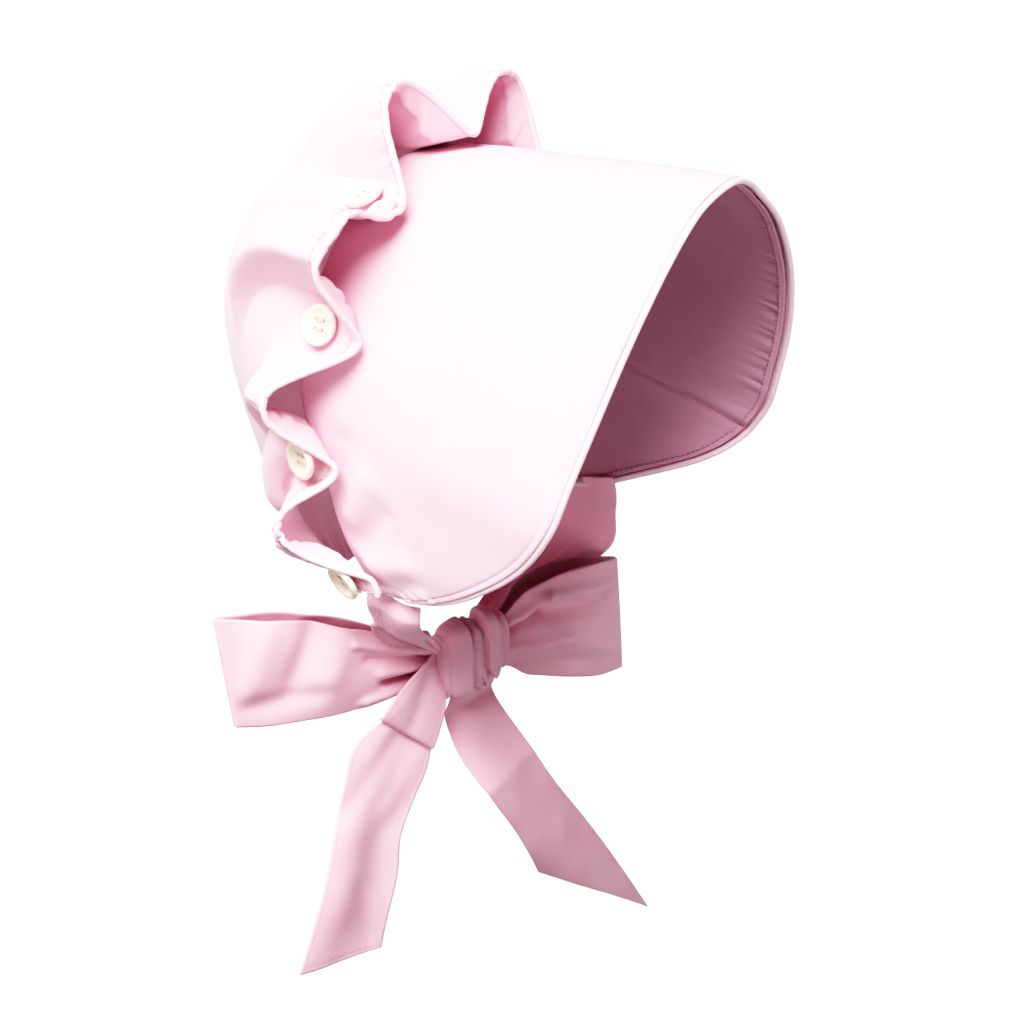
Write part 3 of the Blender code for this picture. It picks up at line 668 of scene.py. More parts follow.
def brim_pieces():
    """The brim's outer cloth, its lining, the piping round its free edges and the lining's seam."""
    u = np.linspace(-1, 1, BRIM_ROWS)[:, None]
    v = 1 - (1 - np.linspace(0, 1, BRIM_COLUMNS)[None, :]) ** BRIM_CROWDING
    reach = np.linalg.norm(brim_base(u, 1.0) - brim_base(u, 0.0), axis=-1)
    inward = BRIM_THICK / 2 + LINING_GAP + LINING_THICK / 2
    outer = brim_outer(u, v, reach)
    lining, seam = brim_lining(u, v, reach, inward)
    u = np.linspace(-1, 1, PIPING_POINTS)
    last = brim_point(u, 1.0, inward / 2)
    ahead = edge_ahead(last, brim_point(u, 0.9, inward / 2))
    cord = round_cord("brim_piping_cord", last + ahead * (PIPING_RADIUS + PIPING_GAP * PIPING_OFF),
                      PIPING_RADIUS, PIPING_SIDES, PIPING_COTTON)
    return outer, lining, cord, seam


# The crown

RUFFLE_SIDES = [[dict(zip(RUFFLE_COLUMNS, np.array(row) * MM)) for row in rows]
                for rows in (RUFFLE_RIGHT, RUFFLE_LEFT)]
RUFFLE_END = RUFFLE_SIDES[0][-1]["along"]
LIFT_TURNS = 60.0 * MM
CROWN_OFFSET = BRIM_THICK / 2 + CROWN_THICK / 2 + 2 * GAP
CORNER_OFFSET = 2.0 * MM
CORNER_SHARE = 0.75
CORNER_FORWARD = (0, -1, 0.15)
# Points in front of the back edge where a crown's line starts, in mm, and how it meets the brim and
# the neck
AHEAD_OF_BACK = (40, 30, 20, 10)
FORWARD_FROM = 0.3
NORMAL_FROM = 0.02
NAPE_OUTWARD = 0.45
NAPE_UPWARD = 0.9
CROWN_STEPS = 96


def ruffle_at(way):
    """The rows of the ruffle before and after a way along the brim's back edge, and the share between."""
    rows = RUFFLE_SIDES[0 if way < 0 else 1]
    way = min(abs(way), RUFFLE_END)
    for low, high in zip(rows[:-1], rows[1:]):
        if way <= high["along"]:
            break
    return low, high, (way - low["along"]) / (high["along"] - low["along"])


def ruffle_edge(way):
    """How far the ruffled edge lies in front of the brim's back edge."""
    low, high, t = ruffle_at(way)
    return low["forward"] + (high["forward"] - low["forward"]) * ease(t)


def ruffle_lift(way, behind):
    """How far the crown stands off the brim, at distances behind its ruffled edge."""
    low, high, t = ruffle_at(way)
    floor = BUTTON_FLOOR * ease(behind / FLOOR_STARTS) / (high["along"] - low["along"])
    if low["button"] > 0:
        t = (t - floor) / (1 - floor)
    elif high["button"] > 0:
        t = t / (1 - floor)
    t = ease(t)
    return sum(weight * row["lift"] * 0.5 * (1 + np.cos(math.pi * np.minimum(behind / row["fades"], 1)))
               for row, weight in ((low, 1 - t), (high, t)))


def crown_line(way):
    """One line of the crown over the head, before the ruffle: its points, the way along it from the
    brim's back edge, and the direction in which the ruffle lifts it."""
    share = abs(way) / RUFFLE_END
    u = math.copysign(min(abs(way) / BACK_HALF, 1.0), way)
    cornered = float(rise(share, CORNER_SHARE, 1 - CORNER_SHARE))
    normal = brim_normal(u, NORMAL_FROM)
    forward = unit(brim_base(u, FORWARD_FROM) - brim_base(u, 0.0))
    forward = unit(forward * (1 - cornered) + np.array(CORNER_FORWARD) * cornered)
    start = brim_base(u, 0.0) + normal * (CROWN_OFFSET + CORNER_OFFSET * cornered)
    ahead = [start + forward * reach * MM for reach in AHEAD_OF_BACK]
    rows = np.array(FULLNESS, dtype=float)
    leaves = np.interp(share, rows[:, 0], rows[:, 1]) * MM
    rises = np.interp(share, rows[:, 0], rows[:, 2]) * MM
    end = points_on(NAPE_CURVE, 0.5 + 0.5 * way / RUFFLE_END)
    outward = unit(np.array((end[0], end[1], 0.0)))
    p1 = start - forward * leaves
    p2 = end + unit(outward * NAPE_OUTWARD + np.array((0, 0, NAPE_UPWARD))) * rises
    t = np.linspace(0, 1, CROWN_STEPS + 1)[:, None]
    over = (1 - t) ** 3 * start + 3 * (1 - t) ** 2 * t * p1 + 3 * (1 - t) * t ** 2 * p2 + t ** 3 * end
    points = np.vstack([ahead, over])
    reach = lengths_along(points)
    return points, reach - reach[len(ahead)], normal


def crown_points(way, behind, line):
    """Points of one line of the crown, at distances behind its ruffled edge."""
    points, reach, normal = line
    place = behind - ruffle_edge(way)
    base = np.stack([np.interp(place, reach, points[:, k]) for k in range(3)], axis=1)
    turn = ease(place / LIFT_TURNS)[:, None]
    lifting = unit(normal * (1 - turn) + unit(base - HEAD_CENTRE) * turn)
    return base + lifting * ruffle_lift(way, behind)[:, None]


CROWN_WAYS = 570
NEAR_EDGE = 9.0 * MM
NEAR_EDGE_ROWS = 16
CROWN_FAR_ROWS = 66
CROWN_CROWDING = 1.15
# The stitched line behind the ruffled edge, the gathers that it draws up on the lobes, and the waves
# at the neck: where each lies, its width and its height, in mm
STITCH_LINE = (2.6, 0.7, -0.35)
CROWN_GATHERS = (0, 6, 1.5)
NECK_WAVE = (0, 16, 0.9)
# Where the crown stands fuller than its lines: the way along the brim, how wide and how far, in mm
CHEEKS = (
    (-139, 13, 10.0), (-32, 16, 4.0),
)
CHEEK_RISE = (8 * MM, 16 * MM)
CHEEK_ENDS = 26 * MM
STITCH_BEHIND = STITCH_LINE[0] * MM
STITCH_STANDS_OFF = 0.08 * MM
GATHER_WAVES = (6.5 * MM, 3.6 * MM)
NECK_WAVE_LENGTH = 8 * MM
FULL_LOBE = 24 * MM
CROWN_RUMPLE = (42, 0.6)
CROWN_RUMPLE_RISE = (10 * MM, 40 * MM)


def crown_grid():
    """The crown's middle as a grid, the way along the brim and the distance behind the ruffled edge of
    each of its points, and how far they are from the neck."""
    ways = np.linspace(-RUFFLE_END, RUFFLE_END, CROWN_WAYS)
    grid, behinds, lefts = [], [], []
    for way in ways:
        line = crown_line(way)
        long = line[1][-1] + ruffle_edge(way)
        near = np.linspace(0, NEAR_EDGE, NEAR_EDGE_ROWS, endpoint=False)
        far = NEAR_EDGE + (long - NEAR_EDGE) * np.linspace(0, 1, CROWN_FAR_ROWS) ** CROWN_CROWDING
        behind = np.concatenate([near, far])
        grid.append(crown_points(way, behind, line))
        behinds.append(behind)
        lefts.append(long - behind)
    return np.array(grid), ways[:, None], np.array(behinds), np.array(lefts)


def crown_pieces():
    """The crown, the piping along its ruffled edge, and the line of its stitches."""
    grid, ways, behind, left = crown_grid()
    lifts = np.array([ruffle_lift(way, np.array([0.0])) for way in ways[:, 0]])
    top = ease(lifts / FULL_LOBE)
    pulls = 0.5 * uneven(ways, GATHER_WAVES[0], seed=21) + uneven(ways, GATHER_WAVES[1], seed=22)
    past = np.maximum(0, behind - STITCH_BEHIND)
    push = top ** 2 * pulls * ease(behind / STITCH_BEHIND) * mound(past, CROWN_GATHERS)
    push = push + mound(behind, STITCH_LINE)
    push = push + uneven(ways, NECK_WAVE_LENGTH, seed=23) * mound(left, NECK_WAVE)
    full = rise(behind, *CHEEK_RISE) * ease(left / CHEEK_ENDS)
    for cheek in CHEEKS:
        push = push + mound(ways, cheek) * full
    push = push + rumple(grid, CROWN_RUMPLE, seed=24) * rise(behind, *CROWN_RUMPLE_RISE)
    middle = grid + grid_normals(grid) * push[..., None]
    cloth = cloth_wall("crown_cloth", middle, CROWN_THICK, CROWN_COTTON)

    edge = middle[:, 0]
    off = PIPING_RADIUS + PIPING_GAP * CROWN_PIPING_OFF
    line = (edge + edge_ahead(edge, middle[:, 4]) * off)[3:-3]
    cord = round_cord("crown_piping_cord", even_polyline(line, CROWN_PIPING_POINTS), PIPING_RADIUS,
                      PIPING_SIDES, PIPING_COTTON)
    at = int(round(STITCH_BEHIND / NEAR_EDGE * NEAR_EDGE_ROWS))
    seam = middle[:, at] + grid_normals(middle)[:, at] * (CROWN_THICK / 2 + STITCH_STANDS_OFF)
    return cloth, cord, seam


# The buttons

# A button's outline from the middle of its face round to the middle of its back: how far from the
# centre and how high, as shares of its radius and thickness
BUTTON_PROFILE = (
    (0.0, 0.5), (0.3, 0.5), (0.52, 0.53), (0.6, 0.62), (0.68, 0.84), (0.76, 0.97), (0.84, 1.0),
    (0.92, 0.95), (0.98, 0.8), (1.0, 0.6), (0.99, 0.35), (0.94, 0.14), (0.84, 0.03),
    (0.62, 0.0), (0.0, 0.0),
)
BUTTON_COUNT = 9
BUTTON_SIDES = 64
HOLE_FROM_CENTRE = 1.75 * MM
HOLE_RADIUS = 0.75 * MM
HOLE_SIDES = 16
# The thread through the holes: each strand's radius and points, how far apart the strands lie, and
# how deep they dip into the holes
STRAND_RADIUS = 0.17 * MM
STRAND_SIDES = 8
STRAND_POINTS = 13
STRAND_APART = 0.34 * MM
STRAND_DIPS = 0.35


def in_order(mesh):
    """The mesh with its points and faces sorted, since a boolean's own order differs from run to run."""
    points = np.array([v.co[:] for v in mesh.vertices])
    order = np.lexsort(points.T)
    place = np.argsort(order).tolist()
    faces = []
    for polygon in mesh.polygons:
        face = [place[k] for k in polygon.vertices]
        first = face.index(min(face))
        faces.append(face[first:] + face[:first])
    made = bpy.data.meshes.new(mesh.name)
    made.from_pydata(points[order].tolist(), [], sorted(faces))
    made.shade_smooth()
    return made


def turned_button():
    """One button, turned from its profile, with four holes bored through it."""
    shape = bmesh.new()
    previous = None
    for from_centre, height in BUTTON_PROFILE:
        vertex = shape.verts.new((from_centre * BUTTON_DIAMETER / 2, 0, height * BUTTON_THICK))
        if previous is not None:
            shape.edges.new((previous, vertex))
        previous = vertex
    bmesh.ops.spin(shape, geom=shape.verts[:] + shape.edges[:], axis=(0, 0, 1), cent=(0, 0, 0),
                   dvec=(0, 0, 0), angle=2 * math.pi, steps=BUTTON_SIDES)
    bmesh.ops.remove_doubles(shape, verts=shape.verts, dist=0.01 * MM)
    bmesh.ops.recalc_face_normals(shape, faces=shape.faces)
    disc = placed_object("button_turned", finished_mesh("button_turned", shape))
    drills = bmesh.new()
    for across, up in ((1, 1), (-1, 1), (-1, -1), (1, -1)):
        place = Matrix.Translation((across * HOLE_FROM_CENTRE, up * HOLE_FROM_CENTRE, BUTTON_THICK / 2))
        bmesh.ops.create_cone(drills, cap_ends=True, segments=HOLE_SIDES, radius1=HOLE_RADIUS,
                              radius2=HOLE_RADIUS, depth=BUTTON_THICK * 2, matrix=place)
    drill = placed_object("button_drills", finished_mesh("button_drills", drills))
    cut = disc.modifiers.new("holes", "BOOLEAN")
    cut.object = drill
    cut.operation = "DIFFERENCE"
    cut.solver = "EXACT"
    made = in_order(evaluated_mesh(disc))
    bpy.data.objects.remove(drill)
    return made


def thread_loops():
    """The button's thread: three strands side by side through each pair of holes."""
    t = np.linspace(0, math.pi, STRAND_POINTS)
    across = -np.cos(t) * HOLE_FROM_CENTRE
    out = 0.5 * BUTTON_THICK + (np.sin(t) - STRAND_DIPS) * MM
    return [np.stack([across, np.full_like(t, up * HOLE_FROM_CENTRE + strand * STRAND_APART), out], axis=1)
            for up in (-1, 1) for strand in (-1, 0, 1)]


def button_seat(node):
    """Where a CAD button lies and which way it faces, as a matrix."""
    points = np.array([v.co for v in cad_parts[node].data.vertices])
    centre = (points.min(axis=0) + points.max(axis=0)) / 2
    spread = np.linalg.eigh(np.cov((points - centre).T))[1]
    facing = spread[:, 0]
    if np.dot(facing, centre - HEAD_CENTRE) < 0:
        facing = -facing
    lowest = ((points - centre) @ facing).min()
    turn = Vector(facing).to_track_quat("Z", "Y").to_matrix().to_4x4()
    return Matrix.Translation(Vector(centre + facing * lowest)) @ turn


def button_pieces():
    """The nine buttons with their threads, by the CAD solids that they stand for."""
    whole = bmesh.new()
    whole.from_mesh(turned_button())
    for number, strand in enumerate(thread_loops()):
        cord = round_cord("strand_%d" % number, strand, STRAND_RADIUS, STRAND_SIDES, BUTTON_THREAD)
        before = len(whole.faces)
        whole.from_mesh(cord.data)
        whole.faces.ensure_lookup_table()
        for face in whole.faces[before:]:
            face.material_index = 1
        bpy.data.objects.remove(cord)
    mesh = finished_mesh("button", whole)
    mesh.materials.append(IVORY)
    mesh.materials.append(BUTTON_THREAD)
    made = {}
    for number in range(1, BUTTON_COUNT + 1):
        node = "button_%d" % number
        placed = mesh.copy()
        placed.transform(button_seat(node))
        made[node] = placed_object("sewn_" + node, placed)
    return made


# The ties and the bow

BOW_ACROSS = np.array((math.cos(BOW_YAW), -math.sin(BOW_YAW), 0.0))
BOW_OUT = np.array((-math.sin(BOW_YAW), -math.cos(BOW_YAW), 0.0))
BOW_UP = np.array((0.0, 0.0, 1.0))


def bow_points(across, up, out):
    """Points in the bow's own frame, in metres."""
    return (KNOT_CENTRE + np.asarray(across)[..., None] * BOW_ACROSS + np.asarray(up)[..., None] * BOW_UP
            + np.asarray(out)[..., None] * BOW_OUT)


# Folds of the right loop, which run out of the knot and across its middle: each runs from one place
# to another, across and up in the bow's frame, with its width and height, in mm
FOLDS_RIGHT = (
    (-17, 9, -52, 21, 1.8, 2.4), (-17, 6.5, -46, 13, 1.8, -2.8), (-18, 3.5, -40, 6.5, 2.2, 2.4),
    (-19, 1.0, -38, 1.5, 1.7, -5.0), (-21, -3, -46, -5, 2.4, 2.2), (-66, 34, -76, 12, 6.0, -3.0),
    (-54, 28, -62, 10, 6.0, 1.8), (-88, 30, -97, 4, 6.0, 1.6), (-70, 3, -98, 1, 4.5, -1.8),
)
# Folds of the left loop: a turned-over upper band with a hollow under it
FOLDS_LEFT = (
    (16, 14, 32, 24, 1.8, 2.2), (32, 24, 62, 23, 2.6, 2.4), (14, 9, 30, 18.5, 1.8, -3.4),
    (32, 17.5, 60, 16.5, 4.0, -4.2), (18, 4, 40, 6, 2.6, 2.0), (22, -2, 46, -6, 3.0, -2.0),
    (44, 4, 62, -4, 4.0, 1.4),
)
LOOP_ROWS = 240
LOOP_COLUMNS = 56
# How much flatter a loop is at its edges, how softly its folds die out at its turn, how much of them
# the back layer has, and how short a way from the knot they begin
LOOP_FLATTENS = 0.35
LOOP_TURN = 0.04
LOOP_BACK_FOLDS = 0.4
LOOP_TUCK = (0.01, 0.05)
LOOP_RUMPLE = (26, 0.3)


def ribbon_shares(rows, columns):
    """Shares along a ribbon, down a grid, and across it."""
    return np.linspace(0, 1, rows)[:, None], np.linspace(0, 1, columns)[None, :]


def bow_loop(name, rows, slant, side, lines, seed):
    """A loop of the bow: the ribbon runs out along the front, turns, and comes back along the back."""
    out_way = smooth_through(rows, RIBBON_CUTS)
    whole = np.vstack([out_way, out_way[::-1] * np.array([1, 1, 1, -1])])
    way = lengths_along(whole[:, [0, 3]])
    a, b = ribbon_shares(LOOP_ROWS, LOOP_COLUMNS)
    out, top, bottom, puff = (np.interp(a, way / way[-1], whole[:, k]) for k in range(4))
    up = bottom + (top - bottom) * b
    across = side * (out + slant * (b - 0.5) * ease(out / (rows[-1][0] * MM)))
    middle = bow_points(across, up, puff * (1 - LOOP_FLATTENS * (2 * b - 1) ** 2))
    front = ease((0.5 - a) / LOOP_TURN) - LOOP_BACK_FOLDS * ease((a - 0.5) / LOOP_TURN)
    push = folds(across / MM, up / MM, lines) * front
    push = push + rumple(middle, LOOP_RUMPLE, seed) * np.abs(front)
    push = push * rise(a, *LOOP_TUCK) * rise(1 - a, *LOOP_TUCK)
    middle = middle + BOW_OUT * push[..., None]
    return cloth_wall(name, middle, RIBBON_THICK, RIBBON_COTTON)


# Folds of the loose ends, told like those of the loops
TAIL_FOLDS_RIGHT = (
    (-34, -24, -56, -48, 4.5, -1.0), (-24, -32, -38, -52, 5.0, 1.0),
    (-48, -56, -42, -84, 6.0, -0.5), (-51, -86, -46, -106, 3.6, -0.6),
    (-58, -50, -62, -90, 6.0, 0.5),
)
TAIL_FOLDS_LEFT = (
    (-5, -22, 20.4, -15.5, 3.2, -3.0), (40, -70, 60, -110, 6.0, 0.6),
)
# Creases across the left loose end, and how much further out it leans below each of them
TAIL_CREASES = (
    (-5, -8, 18, -6, -0.3), (-5, -25.5, 20.4, -20, 0.75), (9, -50.7, 31, -42, -0.5),
)
# The part of the right loose end that is turned over in front, next to the knot
TAIL_FLAP = (
    (-15.5, 8, 3, -12.5, -3, 4, 0), (-22, 6, 8, -13.5, -8, 9, 0),
    (-29, 1.5, 9.5, -14.5, -14, 10, 0), (-35.5, -5, 9.5, -16.5, -21.5, 10, 0),
    (-40, -12.5, 8, -18.5, -29.5, 8.5, 0), (-40.3, -14.2, 5.5, -18.8, -31, 6.5, 0),
)
TAIL_FLAP_FOLDS = (
    (-20, 2, -28, -18, 3.5, -0.9), (-26, 2, -36, -10, 3.5, 0.6),
)
TAIL_CURL = 0.35
CREASE_SOFTNESS = 1.2 * MM
TAIL_FOLDS_BEGIN = 0.08
# The hem's seam: how far inside the edge, its width and its height, in mm
HEM = (1.6, 0.5, -0.12)
TAIL_RUMPLE = (24, 0.35)
TAIL_ROWS = 150
TAIL_COLUMNS = 46


def bow_tail(name, rows, lines, creases=()):
    """A loose end of the bow, curled a little across its width, with a narrow hem round its edge."""
    a, b = ribbon_shares(TAIL_ROWS, TAIL_COLUMNS)
    row = points_on(smooth_through(rows, RIBBON_CUTS), a)
    across, up, out = (row[..., k] + (row[..., k + 3] - row[..., k]) * b for k in range(3))
    out = out + TAIL_CURL * row[..., 6] * np.sin(2 * math.pi * b)
    push = folds(across / MM, up / MM, lines) * ease(a / TAIL_FOLDS_BEGIN)
    for from_x, from_y, to_x, to_y, leans in creases:
        run = math.hypot(to_x - from_x, to_y - from_y)
        below = ((across - from_x * MM) * (to_y - from_y) - (up - from_y * MM) * (to_x - from_x)) / run
        push = push + leans * 0.5 * (below + np.hypot(below, CREASE_SOFTNESS))
    middle = bow_points(across, up, out + push)
    wide = np.linalg.norm(middle[:, -1] - middle[:, 0], axis=1)[:, None]
    long = np.linalg.norm(middle[-1] - middle[0], axis=1).mean()
    from_edge = np.minimum(np.minimum(b, 1 - b) * wide, (1 - a) * long)
    push = mound(from_edge, HEM) + rumple(middle, TAIL_RUMPLE, seed=31)
    return cloth_wall(name, middle + BOW_OUT * push[..., None], RIBBON_THICK, RIBBON_COTTON)


TIE_ROWS = 110
TIE_COLUMNS = 44
# The creases along a tie, which it gathers on its way from the brim and loses a part of at the knot
TIE_CREASE_HIGH, TIE_CREASE_WAVE, TIE_CREASE_RUN = 0.8 * MM, 9 * MM, 30 * MM
TIE_CREASE_SLANT = 6 * MM
TIE_CREASE_RISE, TIE_CREASE_FALL = (0.05, 0.5), (0.8, 0.2)
# The band of the right tie that lies over its lower part next to the brim, and its slanting end
TIE_BAND, TIE_BAND_BEGINS, TIE_BAND_TO, TIE_BAND_SLANT, TIE_BAND_ENDS = 3.4 * MM, 0.08, 0.3, 0.1, 0.05


def chin_tie(name, rows, band, seed):
    """A tie from the lower corner of the brim to the knot."""
    a, b = ribbon_shares(TIE_ROWS, TIE_COLUMNS)
    row = points_on(smooth_through(rows, RIBBON_CUTS), a)
    first, last = row[..., 0:3], row[..., 3:6]
    out = unit(np.cross(last - first, unit(np.gradient(first, axis=0))))
    middle = first + (last - first) * b[..., None] + out * (row[..., 6] * np.sin(2 * math.pi * b))[..., None]
    creases = uneven(b * TIE_CREASE_RUN + TIE_CREASE_SLANT * a, TIE_CREASE_WAVE, seed)
    push = TIE_CREASE_HIGH * creases * rise(a, *TIE_CREASE_RISE) * (1 - 0.5 * rise(a, *TIE_CREASE_FALL))
    push = push + band * between(a, 0, TIE_BAND_BEGINS, TIE_BAND_TO + TIE_BAND_SLANT * b, TIE_BAND_ENDS)
    middle = middle + grid_normals(middle) * push[..., None]
    return cloth_wall(name, middle, RIBBON_THICK, RIBBON_COTTON)


KNOT_HALF = np.array((16.4, 16.2, 10.0)) * MM
KNOT_PLACE = np.array((1.0, 4.0, 1.0)) * MM
KNOT_SLANT = 0.25
# The grooves between the wraps of the knot: where each lies across it at its top, front and bottom,
# how wide it is and how deep, in mm
KNOT_GROOVES = (
    (-2.0, -1.5, 0.5, 0.9, 3.0), (2.6, 3.4, 8.5, 1.1, 3.2), (0.8, 0.8, 4.5, 0.7, 1.6),
    (-12.5, -11.5, -10.5, 0.8, 0.7), (10.5, 12.0, 12.5, 1.3, 1.8),
)
KNOT_ROWS = 132
KNOT_SIDES = 160
# How nearly the knot is a ball, from a box at 0 to a ball at 1, how its grooves bend away from the
# front, and its soft unevenness
KNOT_ROUND = 0.65
GROOVES_BEND = 1.5
KNOT_RUMPLE, KNOT_RUMPLE_ON = (9, 0.25), 12 * MM
KNOT_END = math.pi / 2 - 0.02


def bow_knot():
    """The knot: a round bundle of ribbon wrapped from top to bottom."""
    lean = np.linspace(-KNOT_END, KNOT_END, KNOT_ROWS)[:, None]
    turn = np.linspace(0, 2 * math.pi, KNOT_SIDES, endpoint=False)[None, :]
    ball = np.stack(np.broadcast_arrays(np.sin(lean), np.cos(lean) * np.cos(turn),
                                        np.cos(lean) * np.sin(turn)), axis=-1)
    shape = np.sign(ball) * np.abs(ball) ** KNOT_ROUND
    aside = shape[..., 0] * KNOT_HALF[0]
    sunk = np.zeros_like(aside)
    for top, front, bottom, wide, deep in KNOT_GROOVES:
        at = front + (top - front) * np.maximum(0, np.cos(turn)) ** GROOVES_BEND
        at = at + (bottom - front) * np.maximum(0, -np.cos(turn)) ** GROOVES_BEND
        sunk = sunk + mound(aside, (at, wide, deep))
    sunk = sunk + rumple(shape * KNOT_RUMPLE_ON, KNOT_RUMPLE, seed=41)
    size = np.maximum(np.hypot(shape[..., 1], shape[..., 2]), 1e-6)
    keep = 1 - sunk / KNOT_HALF[2] * np.minimum(size, 1)
    up = shape[..., 1] * KNOT_HALF[1] * keep
    out = shape[..., 2] * KNOT_HALF[2] * keep
    placed = bow_points(KNOT_PLACE[0] + aside, KNOT_PLACE[1] + aside * KNOT_SLANT + up,
                        KNOT_PLACE[2] + out)
    number = np.arange(KNOT_ROWS * KNOT_SIDES).reshape(KNOT_ROWS, KNOT_SIDES)
    flat = placed.reshape(-1, 3)
    around = np.broadcast_to(turn * KNOT_HALF[1], aside.shape)
    uvs = np.stack([aside.ravel(), around.ravel()], axis=1)
    return mesh_object("bow_knot_wrap", flat, facing_out(flat, tube_faces(number)), uvs, RIBBON_COTTON)


# Stitches

STITCH_HALF_WIDTH = 0.2 * MM
CROWN_STITCHES = (2.8 * MM, 2.0 * MM)
LINING_STITCHES = (2.2 * MM, 1.9 * MM)


def stitch_tree():
    """A geometry tree that lays a thread's stitches along a line: its inputs are the space from one
    stitch to the next, a stitch's length and its half width, and the thread's material."""
    tree = bpy.data.node_groups.new("stitches", "GeometryNodeTree")
    for name, kind in (("Line", "Geometry"), ("Spacing", "Float"), ("Stitch Length", "Float"),
                       ("Half Width", "Float"), ("Thread", "Material")):
        tree.interface.new_socket(name, in_out="INPUT", socket_type="NodeSocket" + kind)
    tree.interface.new_socket("Stitches", in_out="OUTPUT", socket_type="NodeSocketGeometry")
    given = add_node(tree, "NodeGroupInput", {}).outputs
    curve = add_node(tree, "GeometryNodeMeshToCurve", {"Mesh": given["Line"]})
    stops = add_node(tree, "GeometryNodeResampleCurve",
                     {"Curve": curve.outputs[0], "Length": given["Spacing"]}, mode="LENGTH")
    along = add_node(tree, "GeometryNodeInputTangent", {})
    turn = add_node(tree, "FunctionNodeAlignRotationToVector", {"Vector": along.outputs[0]}, axis="X")
    ball = add_node(tree, "GeometryNodeMeshUVSphere", {"Segments": 6, "Rings": 4, "Radius": 1.0})
    half = add_node(tree, "ShaderNodeMath", {0: given["Stitch Length"], 1: 0.5}, operation="MULTIPLY")
    size = add_node(tree, "ShaderNodeCombineXYZ",
                    {"X": half.outputs[0], "Y": given["Half Width"], "Z": given["Half Width"]})
    laid = add_node(tree, "GeometryNodeInstanceOnPoints",
                    {"Points": stops.outputs[0], "Instance": ball.outputs["Mesh"],
                     "Rotation": turn.outputs[0], "Scale": size.outputs[0]})
    real = add_node(tree, "GeometryNodeRealizeInstances", {"Geometry": laid.outputs[0]})
    finished = add_node(tree, "GeometryNodeSetMaterial",
                        {"Geometry": real.outputs[0], "Material": given["Thread"]})
    add_node(tree, "NodeGroupOutput", {"Stitches": finished.outputs[0]})
    return tree


def stitch_row(name, line, spacing, long, thread, tree):
    """A row of stitches along a line of points, as one plain mesh."""
    mesh = bpy.data.meshes.new(name)
    mesh.from_pydata([tuple(p) for p in line], [(k, k + 1) for k in range(len(line) - 1)], [])
    guide = placed_object(name + "_guide", mesh)
    laid = guide.modifiers.new("stitches", "NODES")
    laid.node_group = tree
    values = {"Spacing": spacing, "Stitch Length": long, "Half Width": STITCH_HALF_WIDTH,
              "Thread": thread}
    for item in tree.interface.items_tree:
        if item.name in values:
            laid[item.identifier] = values[item.name]
    return placed_object(name, evaluated_mesh(guide))


# The camera

def bearing(turn, tilt):
    """The direction to a place that lies a turn from the front and a tilt above the level."""
    return Vector((math.sin(turn) * math.cos(tilt), -math.cos(turn) * math.cos(tilt), math.sin(tilt)))


def make_camera():
    """The camera at the photograph's place."""
    right = Vector((math.cos(CAMERA_TURN), math.sin(CAMERA_TURN), 0))
    ahead = -bearing(CAMERA_TURN, CAMERA_RISE)
    up = right.cross(ahead)
    focal = CAMERA_LENS / CAMERA_SENSOR * PHOTO_WIDE
    across = (ORIGIN_AT[0] - PHOTO_WIDE / 2) / focal * CAMERA_AWAY
    above = -(ORIGIN_AT[1] - PHOTO_WIDE / 2) / focal * CAMERA_AWAY
    data = bpy.data.cameras.new("camera")
    data.lens = CAMERA_LENS
    data.sensor_width = CAMERA_SENSOR
    camera = placed_object("camera", data)
    camera.location = -(ahead * CAMERA_AWAY + right * across + up * above)
    camera.rotation_euler = Matrix((right, up, -ahead)).transposed().to_euler()
    bpy.context.scene.camera = camera


# The floor and the lights

FLOOR_HEIGHT, FLOOR_RADIUS, FLOOR_SIDES = -0.9, 16, 64
CARD_HEIGHT, CARD_RADIUS, CARD_SIDES = -0.5, 0.8, 48
# The lights: which way round and how high each stands, its strength and its softness, in degrees
LIGHT_COLUMNS = ("name", "turn", "rise", "strength", "softness")
LIGHTS = (
    ("key", -74, 55, 6.2, 38),
    ("side", -125, 45, 1.2, 40),
)
FILL_STRENGTH = 0.07
# The tone curve: how fast it rises to white, how deep its shades stay, the light that is white, and
# where its points lie
EXPOSURE_GAIN = 2.6
EXPOSURE_DEPTH = 2.0
WHITE_FROM = 1.6
EXPOSURE_STOPS = (0.02, 0.05, 0.09, 0.14, 0.2, 0.28, 0.38, 0.5, 0.65, 0.82)


def level_sheet(name, height, size, sides, finish):
    """A flat sheet of the studio that lies level at a height."""
    shape = bmesh.new()
    bmesh.ops.create_circle(shape, cap_ends=True, segments=sides, radius=size,
                            matrix=Matrix.Translation((0, 0, height)))
    mesh = finished_mesh(name, shape)
    mesh.materials.append(finish)
    made = placed_object(name, mesh)
    return made


def studio_paint(name, face_colour, deep_colour):
    """Matt emulsion paint, rolled on. The eye sees a flat tone with very faint clouds."""
    made, tree, place = new_material(name)
    cloudy = add_node(tree, "ShaderNodeTexNoise", {"Vector": place["Object"], "Scale": 2.0})
    set_shader(tree, cloudy.outputs["Fac"], face_colour, deep_colour,
               {"Roughness": 0.9, "Specular IOR Level": 0.0})
    return made


def bright_exposure(view):
    """The tone curve of a bright studio picture: shades stay deep, and lit cloth rolls off to white."""
    view.view_transform = "Standard"
    view.use_curve_mapping = True
    mapping = view.curve_mapping
    mapping.white_level = (WHITE_FROM, WHITE_FROM, WHITE_FROM)
    curve = mapping.curves[3]
    whole = 1 - math.exp(-EXPOSURE_GAIN * WHITE_FROM)
    for stop in EXPOSURE_STOPS:
        tone = (1 - math.exp(-EXPOSURE_GAIN * WHITE_FROM * stop)) / whole
        curve.points.new(stop, tone ** EXPOSURE_DEPTH)
    mapping.update()


